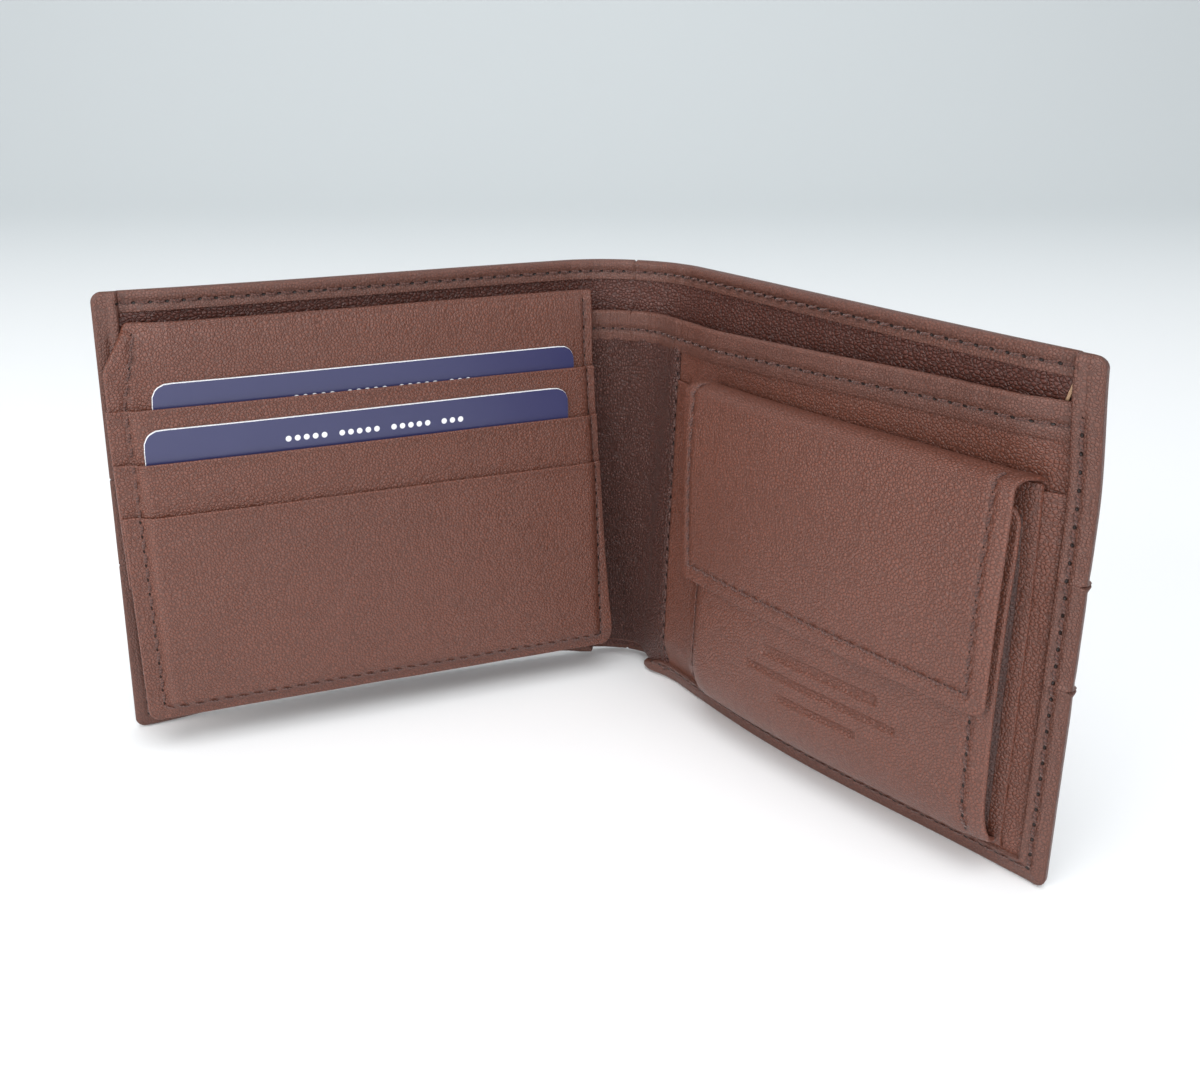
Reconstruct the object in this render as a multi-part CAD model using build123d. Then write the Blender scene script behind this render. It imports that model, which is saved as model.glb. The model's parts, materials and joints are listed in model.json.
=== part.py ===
from build123d import *
import os
from math import cos, radians, sin

# Bifold wallet standing on its lower long edges, opened to INTERIOR_ANGLE, in millimetres, +Z up.
# Every piece is drawn on the coin half, where s runs from the virtual corner of the two outer
# faces towards the free edge, d runs inwards from the outer face, and z runs up from the floor.
# A piece of the card half is the mirror image of that, turned round the spine into place.
# The origin lies on the floor at the foot of the spine, halfway through its leather.

# ---- driving dimensions ----
HALF_WIDTH = 113.0
HEIGHT = 90.0
INTERIOR_ANGLE = 100.0
SPINE_RADIUS = 18.0
CORNER_RADIUS = 3.0
HEM_WIDTH = 5.5
HEM_STITCH_INSET = 4.5
RIGID_START = 19.0
SPINE_PANEL_ANGLE = 30.0
STIFFENER_INSET = 0.5

SEAMS_Z = (36.5, 54.3)
SEAM_RIDGE = 1.6
SEAM_PROUD = 0.8

CARD_WIDTH = 85.6
CARD_HEIGHT = 54.0
CARD_CORNER = 3.18

FIT = 0.05
CUT = 1.0

# ---- where each layer lies, from the outer face inwards ----
COVER = (0.0, 0.9)
STIFFENER = (0.95, 1.25)
LINING = (1.3, 1.55)
TOP_HEM = (1.6, 2.3)
DIVIDER = (3.4, 4.0)
BINDING = (4.05, 4.6)

SLIP_POCKET = (4.05, 4.55)
POUCH_BACK = (4.6, 5.1)
COIN_HEM = (5.15, 5.75)
POUCH_FRONT = (9.9, 10.5)
FLAP_LINING = (10.65, 11.0)
FLAP = (11.05, 11.75)

CARD_HEM = (4.05, 4.5)
WING_BACK = (4.75, 5.2)
WING_TOP = (5.25, 5.85)
UPPER_CARD = (5.92, 6.68)
UPPER_STRIP = (6.75, 7.25)
LOWER_CARD = (7.32, 8.08)
LOWER_STRIP = (8.15, 8.65)
WING_FRONT = (8.7, 9.35)

# ---- divider and slip pocket ----
FOLD_WALL = 0.7
EDGE_GAP = 0.1
DIVIDER_TOP = 80.8
BINDING_WIDTH = 6.3
SLIP_POCKET_START = 20.5
SLIP_POCKET_TOP = 69.0

# ---- coin pouch ----
POUCH_START = 33.5
POUCH_END = 106.0
POUCH_FLOOR = 6.7
POUCH_MOUTH = 67.0
POUCH_CORNER = 2.0
FLAP_BOTTOM = 31.7
FLAP_PIVOT_Z = 69.3
FLAP_LEATHER = 0.7
FLAP_LINING_INSET = 0.3
POUCH_FLOOR_THICKNESS = 0.6
GUSSET_DEPTH = 3.3
GUSSET_INSET = 0.6
GUSSET_SHEET = 0.8
GUSSET_END_GAP = 1.0
SNAP_Z = 40.0
SNAP_HEAD_RADIUS = 2.0
SNAP_SHANK_RADIUS = 0.9
SNAP_RIM_RADIUS = 4.0
SNAP_PLATE = 0.35
SNAP_GAP = 0.1

# ---- card wing ----
WING_START = 13.0
WING_END = 112.5
WING_BOTTOM = 6.8
WING_PIVOT_Z = 83.2
WING_CHAMFER = (7.0, 10.0)
WING_LEATHER = 0.6
WING_FLAT_END = 2.0
WING_REAR_SET = 0.2
WING_BACK_DROP = 4.0
WING_BACK_INSET = 1.0
STRIP_BELOW_CARD = 1.0
WING_CORNER = 2.0
SLOT_EDGES_Z = (69.0, 59.0, 49.0)
UPPER_CARD_START = 19.0
UPPER_CARD_TOP = 73.5
LOWER_CARD_START = 21.3
LOWER_CARD_TOP = 65.3

# ---- stitching ----
THREAD = 0.4
THREAD_GAP = 0.02
STITCH_INSET = 3.0

# ---- worked out from the above ----
FOLD_TURN = 180.0 - INTERIOR_ANGLE
BISECTOR = INTERIOR_ANGLE / 2
CORNER_TO_CENTRE = SPINE_RADIUS / cos(radians(FOLD_TURN / 2))
SPINE_CENTRE = (CORNER_TO_CENTRE * cos(radians(BISECTOR)), -SPINE_RADIUS)
TANGENT_START = SPINE_CENTRE[0]
SPINE_FOOT = CORNER_TO_CENTRE - SPINE_RADIUS + COVER[1] / 2
ORIGIN = (SPINE_FOOT * cos(radians(BISECTOR)), -SPINE_FOOT * sin(radians(BISECTOR)))
FLAP_PIVOT_D = (POUCH_BACK[0] + FLAP[1]) / 2
WING_PIVOT_D = (DIVIDER[0] + WING_REAR_SET + WING_TOP[1]) / 2
SNAP_S = (POUCH_START + POUCH_END) / 2
BAND_Z = (SEAMS_Z[0] - SEAM_RIDGE / 2, SEAMS_Z[1] + SEAM_RIDGE / 2)
RIDGES_Z = ((BAND_Z[0], BAND_Z[0] + SEAM_RIDGE), (BAND_Z[1] - SEAM_RIDGE, BAND_Z[1]))


# ---- placing ----
def on_coin_half(shape):
    return Pos(-ORIGIN[0], -ORIGIN[1], 0) * shape


def on_card_half(shape):
    return Pos(-ORIGIN[0], -ORIGIN[1], 0) * Rot(0, 0, FOLD_TURN) * mirror(shape, Plane.YZ)


def write(name, *solids):
    shape = solids[0] if len(solids) == 1 else Compound(children=list(solids))
    export_step(shape, os.path.join("parts", name + ".step"))


# ---- basic leather shapes ----
def slab(s, d, z):
    box = Box(s[1] - s[0], d[1] - d[0], z[1] - z[0], align=(Align.MIN, Align.MIN, Align.MIN))
    return Pos(s[0], -d[1], z[0]) * box


def rounded(solid, radius, corners):
    """Rounds the edges that run through the thickness at the given (s, z) corners."""
    across = solid.edges().filter_by(Axis.Y)
    chosen = []
    for edge in across:
        middle = edge.center()
        if any(abs(middle.X - s) + abs(middle.Z - z) < 0.1 for s, z in corners):
            chosen.append(edge)
    return fillet(chosen, radius)


def sheet(s, d, z, radius=0.0, top_round=True):
    """A flat panel whose corners at the free edge are rounded."""
    solid = slab(s, d, z)
    if radius == 0.0:
        return solid
    corners = [(s[1], z[0])] + ([(s[1], z[1])] if top_round else [])
    return rounded(solid, radius, corners)


def plate(points, d):
    """A flat panel with the given outline of (s, z) points."""
    outline = make_face(Polyline(*[(s, 0, z) for s, z in points], close=True))
    return Pos(0, -d[0], 0) * extrude(outline, d[1] - d[0], dir=(0, -1, 0))


def arc_sheet(d, z, start, end):
    """A curved sheet round the spine, from one angle to another, each counted from the coin half."""
    outer, inner = SPINE_RADIUS - d[0], SPINE_RADIUS - d[1]
    first, turn = 90 + start, end - start
    out = CenterArc((0, 0), outer, first, turn)
    back = CenterArc((0, 0), inner, first, turn)
    face = make_face([out, Line(out @ 1, back @ 1), back, Line(back @ 0, out @ 0)])
    return Pos(SPINE_CENTRE[0], SPINE_CENTRE[1], z[0]) * extrude(face, z[1] - z[0], dir=(0, 0, 1))


def whole_arc_sheet(d, z):
    """A curved sheet round the spine with a short flat margin on each half."""
    margin = slab((TANGENT_START, RIGID_START), d, z)
    other = Rot(0, 0, FOLD_TURN) * mirror(margin, Plane.YZ)
    return arc_sheet(d, z, 0, FOLD_TURN) + margin + other


def roll(s, centre_d, centre_z, outer, inner):
    """A half tube along s, open downwards, where leather turns over an edge."""
    tube = Cylinder(outer, s[1] - s[0]) - Cylinder(inner, s[1] - s[0])
    lying = Pos((s[0] + s[1]) / 2, -centre_d, centre_z) * Rot(0, 90, 0) * tube
    reach = outer + CUT
    above = slab(s, (centre_d - reach, centre_d + reach), (centre_z, centre_z + reach))
    return lying & above


def stitch_line(points, d):
    """A run of thread along (s, z) points, lying on a face at depth d."""
    bars = []
    for (s0, z0), (s1, z1) in zip(points, points[1:]):
        s = (min(s0, s1) - THREAD / 2, max(s0, s1) + THREAD / 2)
        z = (min(z0, z1) - THREAD / 2, max(z0, z1) + THREAD / 2)
        bars.append(slab(s, (d + THREAD_GAP, d + THREAD_GAP + THREAD / 2), z))
    run = bars[0]
    for bar in bars[1:]:
        run = run + bar
    return run


# ---- outer cover ----
def cover_half(hem):
    """One half of the cover with its turned edges: hem is where the side and bottom hems lie."""
    start, inside = RIGID_START, HALF_WIDTH - FOLD_WALL
    body = sheet((start, HALF_WIDTH), (COVER[0], hem[1]), (0, HEIGHT), CORNER_RADIUS)
    hollow_z = (FOLD_WALL, HEIGHT - FOLD_WALL)
    cavity = sheet((start - CUT, inside), (COVER[1], hem[0]), hollow_z, CORNER_RADIUS - FOLD_WALL)
    hem_edge, top_edge = HALF_WIDTH - HEM_WIDTH, HEIGHT - HEM_WIDTH
    window = slab((start - CUT, hem_edge), hem, (HEM_WIDTH, HEIGHT))
    relief = slab((start - CUT, hem_edge), (TOP_HEM[1], hem[1]), (top_edge, HEIGHT))
    top_hem = slab((start, inside), TOP_HEM, (top_edge, HEIGHT - FOLD_WALL - CORNER_RADIUS / 3))
    top_fill = slab((start, inside - CORNER_RADIUS), TOP_HEM, (top_edge, HEIGHT - FOLD_WALL))
    return body - cavity - window - relief + top_hem + top_fill


def cover_strips(half):
    """Cuts one cover half into its lower strip, band and upper strip, with the ridges on the band."""
    wide, deep = (0, HALF_WIDTH + CUT), (COVER[0] - CUT, COIN_HEM[1] + CUT)
    lower = half & slab(wide, deep, (0, BAND_Z[0]))
    upper = half & slab(wide, deep, (BAND_Z[1], HEIGHT))
    band = half & slab(wide, deep, BAND_Z)
    for ridge_z in RIDGES_Z:
        band = band + slab((RIGID_START, HALF_WIDTH), (-SEAM_PROUD, 0), ridge_z)
    return {"lower": lower, "band": band, "upper": upper}


def spine_strips(make):
    """The lower strip, band and upper strip of a spine piece: make takes a depth and a height range."""
    band = make(COVER, BAND_Z)
    for ridge_z in RIDGES_Z:
        band = band + make((-SEAM_PROUD, 0), ridge_z)
    return {"lower": make(COVER, (0, BAND_Z[0])), "band": band, "upper": make(COVER, (BAND_Z[1], HEIGHT))}


def write_cover():
    for strip, solid in cover_strips(cover_half(COIN_HEM)).items():
        write(f"cover_{strip}_coin_side", on_coin_half(solid))
    for strip, solid in cover_strips(cover_half(CARD_HEM)).items():
        write(f"cover_{strip}_card_side", on_card_half(solid))
    side_turn = (FOLD_TURN - SPINE_PANEL_ANGLE) / 2
    panel = spine_strips(lambda d, z: arc_sheet(d, z, side_turn, FOLD_TURN - side_turn))
    for strip, solid in panel.items():
        write(f"cover_{strip}_spine", on_coin_half(solid))
    margin = (TANGENT_START, RIGID_START)
    bend = spine_strips(lambda d, z: arc_sheet(d, z, 0, side_turn) + slab(margin, d, z))
    write("cover_bend_coin_side", *[on_coin_half(solid) for solid in bend.values()])
    write("cover_bend_card_side", *[on_card_half(solid) for solid in bend.values()])


# ---- stiffeners, lining and divider ----
def write_inner_layers():
    low = FOLD_WALL + EDGE_GAP
    inside = HALF_WIDTH - low
    board = sheet((RIGID_START + STIFFENER_INSET, inside), STIFFENER, (low, HEIGHT - low), CORNER_RADIUS)
    lining = sheet((RIGID_START, inside), LINING, (low, HEIGHT - low), CORNER_RADIUS)
    divider = sheet((RIGID_START, inside), DIVIDER, (low, DIVIDER_TOP), CORNER_RADIUS, top_round=False)
    binding_z = (DIVIDER_TOP - BINDING_WIDTH, DIVIDER_TOP)
    binding = slab((RIGID_START, HALF_WIDTH - HEM_WIDTH - EDGE_GAP), BINDING, binding_z)
    for place, side in ((on_coin_half, "coin_side"), (on_card_half, "card_side")):
        write(f"stiffener_{side}", place(board))
        write(f"bill_lining_{side}", place(lining))
        write(f"divider_{side}", place(divider))
        write(f"divider_binding_{side}", place(binding))
    write("bill_lining_spine", on_coin_half(whole_arc_sheet(LINING, (low, HEIGHT - low))))
    write("divider_spine", on_coin_half(whole_arc_sheet(DIVIDER, (low, DIVIDER_TOP))))
    write("divider_binding_spine", on_coin_half(whole_arc_sheet(BINDING, binding_z)))


# ---- coin half ----
def gusset(fold_s, edge_s):
    """A pleated side wall of the coin pouch, folded inwards at fold_s."""
    step = GUSSET_SHEET if fold_s > edge_s else -GUSSET_SHEET
    back, front = POUCH_BACK[1] + FIT, POUCH_FRONT[0] - FIT
    middle = (back + front) / 2
    points = [
        (edge_s, back),
        (edge_s + step, back),
        (fold_s + step, middle),
        (edge_s + step, front),
        (edge_s, front),
        (fold_s, middle),
    ]
    outline = make_face(Polyline(*[(s, -d) for s, d in points], close=True))
    low, high = POUCH_FLOOR + POUCH_FLOOR_THICKNESS + GUSSET_SHEET, POUCH_MOUTH - GUSSET_END_GAP
    return Pos(0, 0, low) * extrude(outline, high - low, dir=(0, 0, 1))


def through(d):
    """A depth range that cuts right through a layer."""
    return (d[0] - CUT, d[1] + CUT)


def disc(radius, d):
    """A round plate of the press stud."""
    return Pos(SNAP_S, -(d[0] + d[1]) / 2, SNAP_Z) * Rot(90, 0, 0) * Cylinder(radius, d[1] - d[0])


def write_slip_pocket():
    low = FOLD_WALL + EDGE_GAP
    span, height = (SLIP_POCKET_START, HALF_WIDTH - low), (low, SLIP_POCKET_TOP)
    pocket = sheet(span, SLIP_POCKET, height, CORNER_RADIUS, top_round=False)
    write("slip_pocket", on_coin_half(pocket))
    write("coin_pouch_back", on_coin_half(slab((POUCH_START, POUCH_END), POUCH_BACK, (low, FLAP_PIVOT_Z))))


def write_pouch():
    span = (POUCH_START, POUCH_END)
    mouth_corners = [(POUCH_START, POUCH_MOUTH), (POUCH_END, POUCH_MOUTH)]
    wall = rounded(slab(span, POUCH_FRONT, (POUCH_FLOOR, POUCH_MOUTH)), POUCH_CORNER, mouth_corners)
    floor_z = (POUCH_FLOOR, POUCH_FLOOR + POUCH_FLOOR_THICKNESS)
    floor = slab(span, (COIN_HEM[0], POUCH_FRONT[1]), floor_z)
    shank_hole = disc(SNAP_SHANK_RADIUS + SNAP_GAP, through(POUCH_FRONT))
    write("coin_pouch_front", on_coin_half(wall + floor - shank_hole))
    reach = GUSSET_INSET + GUSSET_DEPTH
    left = gusset(POUCH_START + reach, POUCH_START + GUSSET_INSET)
    right = gusset(POUCH_END - reach, POUCH_END - GUSSET_INSET)
    write("coin_pouch_gusset_inner", on_coin_half(left))
    write("coin_pouch_gusset_outer", on_coin_half(right))
    back_plate = disc(SNAP_RIM_RADIUS, (POUCH_FRONT[0] - SNAP_PLATE, POUCH_FRONT[0] - THREAD_GAP))
    shank = disc(SNAP_SHANK_RADIUS, (POUCH_FRONT[0] - SNAP_GAP, POUCH_FRONT[1] + SNAP_GAP))
    head = disc(SNAP_HEAD_RADIUS, (POUCH_FRONT[1] + THREAD_GAP, FLAP_LINING[1] - FIT))
    write("snap_stud", on_coin_half(back_plate + shank + head))


def write_coin_flap():
    span = (POUCH_START, POUCH_END)
    outer = FLAP[1] - FLAP_PIVOT_D
    corners = [(POUCH_START, FLAP_BOTTOM), (POUCH_END, FLAP_BOTTOM)]
    leather = rounded(slab(span, FLAP, (FLAP_BOTTOM, FLAP_PIVOT_Z)), POUCH_CORNER, corners)
    lining_s = (span[0] + FLAP_LINING_INSET, span[1] - FLAP_LINING_INSET)
    lining = slab(lining_s, FLAP_LINING, (FLAP_BOTTOM + FLAP_LINING_INSET, FLAP_PIVOT_Z - GUSSET_END_GAP))
    rim_hole = disc(SNAP_RIM_RADIUS + SNAP_GAP, through(FLAP_LINING))
    head_hole = disc(SNAP_HEAD_RADIUS + SNAP_GAP, through(FLAP_LINING))
    hinge = roll(span, FLAP_PIVOT_D, FLAP_PIVOT_Z, outer, outer - FLAP_LEATHER)
    write("coin_flap", on_coin_half(leather))
    write("coin_flap_lining", on_coin_half(lining - rim_hole))
    write("coin_flap_hinge", on_coin_half(hinge))
    write("snap_socket", on_coin_half(disc(SNAP_RIM_RADIUS, FLAP_LINING) - head_hole))


# ---- card wing ----
def wing_panel(start, end, d, z):
    """A panel of the wing with the cut-off corner at the top of its free edge."""
    across, down = WING_CHAMFER
    top = WING_PIVOT_Z + WING_TOP[1] - WING_PIVOT_D
    rise = (z[1] - (top - down)) / down
    points = [(start, z[0]), (end, z[0]), (end, top - down), (end - across * rise, z[1]), (start, z[1])]
    return plate(points, d)


def card(start, top, d):
    body = slab((start, start + CARD_WIDTH), d, (top - CARD_HEIGHT, top))
    corners = [(s, z) for s in (start, start + CARD_WIDTH) for z in (top - CARD_HEIGHT, top)]
    return rounded(body, CARD_CORNER, corners)


def write_wing():
    span = (WING_START, WING_END)
    outer = WING_TOP[1] - WING_PIVOT_D
    back_z = (WING_BOTTOM, WING_PIVOT_Z - WING_BACK_DROP)
    top_z = (WING_BOTTOM, WING_PIVOT_Z - WING_FLAT_END)
    upper_z = (UPPER_CARD_TOP - CARD_HEIGHT - STRIP_BELOW_CARD, SLOT_EDGES_Z[0])
    middle_z = (LOWER_CARD_TOP - CARD_HEIGHT - STRIP_BELOW_CARD, SLOT_EDGES_Z[1])
    front = sheet(span, WING_FRONT, (WING_BOTTOM, SLOT_EDGES_Z[2]), WING_CORNER, top_round=False)
    write("wing_back", on_card_half(wing_panel(WING_START + WING_BACK_INSET, WING_END, WING_BACK, back_z)))
    write("wing_top_panel", on_card_half(wing_panel(*span, WING_TOP, top_z)))
    write("upper_slot_strip", on_card_half(slab(span, UPPER_STRIP, upper_z)))
    write("middle_slot_strip", on_card_half(slab(span, LOWER_STRIP, middle_z)))
    write("lower_slot_panel", on_card_half(front))
    hinge_span = (WING_START, WING_END - WING_CHAMFER[0])
    turned = roll(hinge_span, WING_PIVOT_D, WING_PIVOT_Z, outer, outer - WING_LEATHER)
    rear_d = (WING_PIVOT_D - outer, WING_PIVOT_D - outer + WING_LEATHER)
    rear_leg = slab(hinge_span, rear_d, (DIVIDER_TOP, WING_PIVOT_Z))
    front_leg = slab(hinge_span, WING_TOP, (WING_PIVOT_Z - WING_FLAT_END, WING_PIVOT_Z))
    write("wing_hinge", on_card_half(turned + rear_leg + front_leg))


def write_cards():
    write("upper_card", on_card_half(card(UPPER_CARD_START, UPPER_CARD_TOP, UPPER_CARD)))
    write("lower_card", on_card_half(card(LOWER_CARD_START, LOWER_CARD_TOP, LOWER_CARD)))


# ---- stitching ----
def sewn_rim(start, end, low, high, d):
    """Thread down one side of a panel, along its foot and up the other side."""
    near, far, foot = start + STITCH_INSET, end - STITCH_INSET, low + STITCH_INSET
    top = high - THREAD
    return stitch_line([(near, top), (near, foot), (far, foot), (far, top)], d)


def write_stitching():
    wing_run = sewn_rim(WING_START, WING_END, WING_BOTTOM, SLOT_EDGES_Z[2], WING_FRONT[1])
    flap_run = sewn_rim(POUCH_START, POUCH_END, FLAP_BOTTOM, FLAP_PIVOT_Z, FLAP[1])
    write("wing_stitching", on_card_half(wing_run))
    write("flap_stitching", on_coin_half(flap_run))
    edge, low = HALF_WIDTH - HEM_STITCH_INSET, HEM_STITCH_INSET
    hem_run = [(RIGID_START, low), (edge, low), (edge, DIVIDER_TOP)]
    write("hem_stitching_coin_side", on_coin_half(stitch_line(hem_run, COIN_HEM[1])))
    write("hem_stitching_card_side", on_card_half(stitch_line(hem_run, CARD_HEM[1])))
    middle = DIVIDER_TOP - BINDING_WIDTH / 2
    binding_run = [(RIGID_START, middle), (HALF_WIDTH - HEM_WIDTH - STITCH_INSET / 3, middle)]
    write("binding_stitching_coin_side", on_coin_half(stitch_line(binding_run, BINDING[1])))


os.makedirs("parts", exist_ok=True)
write_cover()
write_inner_layers()
write_slip_pocket()
write_pouch()
write_coin_flap()
write_wing()
write_cards()
write_stitching()
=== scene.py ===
"""Bifold wallet: leather skins, stitching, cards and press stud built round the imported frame."""

import json
import math

import bmesh
import bpy
import numpy as np
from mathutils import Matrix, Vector

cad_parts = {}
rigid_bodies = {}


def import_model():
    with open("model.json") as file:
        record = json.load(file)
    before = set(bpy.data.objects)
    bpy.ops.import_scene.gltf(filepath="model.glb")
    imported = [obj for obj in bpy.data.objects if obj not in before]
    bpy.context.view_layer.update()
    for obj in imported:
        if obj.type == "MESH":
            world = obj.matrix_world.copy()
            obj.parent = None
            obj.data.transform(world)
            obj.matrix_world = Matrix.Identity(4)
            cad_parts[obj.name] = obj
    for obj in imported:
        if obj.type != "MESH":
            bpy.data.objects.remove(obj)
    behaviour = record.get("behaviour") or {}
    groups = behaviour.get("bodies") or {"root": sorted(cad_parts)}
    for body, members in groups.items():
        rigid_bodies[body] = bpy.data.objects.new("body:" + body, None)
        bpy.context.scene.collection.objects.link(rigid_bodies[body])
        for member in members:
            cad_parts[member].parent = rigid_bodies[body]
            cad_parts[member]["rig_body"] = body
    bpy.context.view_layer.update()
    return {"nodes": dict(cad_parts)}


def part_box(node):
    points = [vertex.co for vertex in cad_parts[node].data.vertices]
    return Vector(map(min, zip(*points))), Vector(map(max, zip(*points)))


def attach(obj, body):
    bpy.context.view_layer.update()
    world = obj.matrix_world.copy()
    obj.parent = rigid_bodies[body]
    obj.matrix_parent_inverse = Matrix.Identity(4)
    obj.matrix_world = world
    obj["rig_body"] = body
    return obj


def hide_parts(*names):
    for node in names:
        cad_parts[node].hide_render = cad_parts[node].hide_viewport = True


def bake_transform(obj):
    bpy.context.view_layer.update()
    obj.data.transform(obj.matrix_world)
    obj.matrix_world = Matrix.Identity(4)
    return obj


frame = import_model()

# All sizes below are millimetres in page coordinates: s from the corner of the two outer faces
# towards a half's free edge, d inwards from the outer face, z up. place() turns them into the row frame.
MM = 0.001
BRIM = 1e-6
HALF_ANGLE = math.radians(50.0)
HALF_TURN = math.radians(40.0)
STITCH = 2.9
NO_SEAM = 50.0
SQUARE = (0, 0, 0, 0)
RNG = np.random.default_rng(7)

# ---------------------------------------------------------------- places read from the frame
_, cover_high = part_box("cover_upper_coin_side")
CORNER = np.array([-cover_high.y / math.tan(HALF_ANGLE), cover_high.y]) / MM
SPINE_ANGLE = 2 * HALF_TURN
CARD_BODIES = ("card_half", "card_wing", "upper_card", "lower_card")


def to_page(side, points):
    """Row-frame points in metres as (s, d, z) in millimetres."""
    p = np.asarray(points, float) / MM
    x, y = p[:, 0] - CORNER[0], p[:, 1] - CORNER[1]
    if side == "card":
        c, s = math.cos(-SPINE_ANGLE), math.sin(-SPINE_ANGLE)
        x, y = -(x * c - y * s), x * s + y * c
    return np.stack([x, -y, p[:, 2]], 1)


def span(node):
    """A CAD node's lowest and highest (s, d, z)."""
    side = "card" if frame["nodes"][node]["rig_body"] in CARD_BODIES else "coin"
    page = to_page(side, [v.co for v in frame["nodes"][node].data.vertices])
    return page.min(0), page.max(0)


WIDTH = span("cover_upper_coin_side")[1][0]
HEIGHT = span("cover_upper_coin_side")[1][2]
DIVIDER_TOP = span("divider_coin_side")[1][2]
DIVIDER_FRONT = span("divider_coin_side")[1][1]
SEAMS_Z = (span("cover_lower_coin_side")[1][2] + 0.8, span("cover_upper_coin_side")[0][2] - 0.8)
BEND_END = 22.0
SPINE_R = (12.5, 24.0)


# ---------------------------------------------------------------- shape of the standing wallet
def smooth(x, a, b):
    """0 before a, 1 after b, smooth between; a may be above b."""
    t = np.clip((np.asarray(x, float) - a) / (b - a), 0, 1)
    return t * t * (3 - 2 * t)


def bell(x, centre, width, power=2):
    """1 at centre, falling to 1/e at width from it; a higher power gives a flatter top."""
    return np.exp(-(((x - centre) / width) ** power))


def hump(x):
    """Half a sine wave over 0 to 1, and 0 outside."""
    return np.sin(np.clip(x, 0, 1) * math.pi)


def soft(s, z, seed, size=18.0):
    """Gentle uneven waves, about -1 to 1, the same each run."""
    rng = np.random.default_rng(seed)
    total = np.zeros(np.broadcast(s, z).shape)
    for k in range(7):
        angle, phase = rng.uniform(0, math.tau, 2)
        length = size * rng.uniform(0.6, 2.2)
        reach = s * math.cos(angle) + z * math.sin(angle)
        total = total + np.cos(reach * math.tau / length + phase)
    return total / 4.0


def lean(side, s, z):
    """How far a half stands off its flat CAD place, inwards: it leans and bows as soft leather does."""
    grow = smooth(s, 5, 105)
    bow = hump((s - 10) / 100) * (1 - z / HEIGHT)
    if side != "coin":
        return (6.0 * z / HEIGHT - 1.2) * grow - 1.6 * bow * (side == "card")
    return (2.6 * z / 75 - 2.5 + 2.6 * smooth(z, 65, 92)) * grow + 3.6 * bow


def settle(side, s, z, d):
    """Inner layers are pressed together at the sewn rims and stand proud next to the spine."""
    rim = np.maximum(smooth(WIDTH - s, 13, 3.5), smooth(z, 11, 2.5) * smooth(s, 10, 24))
    inner = np.clip((d - 1.2) / 3.0, 0, 1)
    if side != "coin":
        return d - 2.3 * rim * inner * smooth(d, 6.2, 4.8)
    proud = smooth(s, 3, 21) * smooth(s, 104, 45) * (1.6 + 1.4 * smooth(z, 30, 75) * smooth(s, 20, 34))
    return d - 2.5 * rim * inner * smooth(d, 7.0, 5.6) + proud * smooth(d, 2.2, 3.4)


def lift(side, s, z):
    """The card half stands on its corner: the rest of its foot clears the floor a little."""
    if side != "card":
        return 0.0
    return 1.3 * smooth(s, 2, 18) * smooth(s, 112, 80) * smooth(z, 14, 0)


def place(side, s, d, z):
    """Page coordinates as row-frame metres, with the sheet turned round the spine below BEND_END.

    Side "coin" or "card" is a half, "wing" the card wing and "insert" its cards; "flat" changes nothing.
    """
    s, d, z = np.broadcast_arrays(np.asarray(s, float), np.asarray(d, float), np.asarray(z, float))
    if side == "flat":
        return np.stack([s, d, z], -1) * MM
    if side == "wing":
        s = s - 1.5 * np.clip((69 - z) / 62, 0, 1)
    radius = SPINE_R[0] + (SPINE_R[1] - SPINE_R[0]) * np.clip(z / HEIGHT, 0, 1)
    tangent = radius * math.tan(HALF_TURN)
    length = radius * HALF_TURN + BEND_END - tangent
    run = np.clip(s / BEND_END, None, 1) * length
    turn = HALF_TURN - np.clip(run / radius, None, HALF_TURN)
    flat_s = tangent + run - radius * HALF_TURN
    on_arc = run < radius * HALF_TURN
    depth = settle(side, s, z, d) + lean(side, s, z)
    arc_s = tangent - (radius - depth) * np.sin(turn)
    arc_d = radius - (radius - depth) * np.cos(turn)
    real_s = np.where(s >= BEND_END, s, np.where(on_arc, arc_s, flat_s))
    real_d = np.where(on_arc, arc_d, depth)
    x, y = real_s, -real_d
    if side != "coin":
        c, sn = math.cos(SPINE_ANGLE), math.sin(SPINE_ANGLE)
        x, y = -x * c - y * sn, -x * sn + y * c
    return np.stack([x + CORNER[0], y + CORNER[1], z + lift(side, s, z)], -1) * MM


# ---------------------------------------------------------------- mesh building
def lines(a, b, step, fine=(), reach=0.6, count=7):
    """Grid lines from a to b, closer together round each value in fine."""
    base = list(np.linspace(a, b, max(2, int(round((b - a) / step)) + 1)))
    for f in fine:
        base += [x for x in np.linspace(f - reach, f + reach, count) if a < x < b]
    base = np.array(sorted(base))
    keep = [base[0]]
    for x in base[1:-1]:
        if x - keep[-1] > 0.07 and b - x > 0.07:
            keep.append(x)
    return np.array(keep + [base[-1]])


def edge_lines(a, b, step, roll=1.2):
    """Grid lines that crowd towards both ends, for a panel with soft edges."""
    return lines(a, b, step, (a, b), roll, 9)


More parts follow.
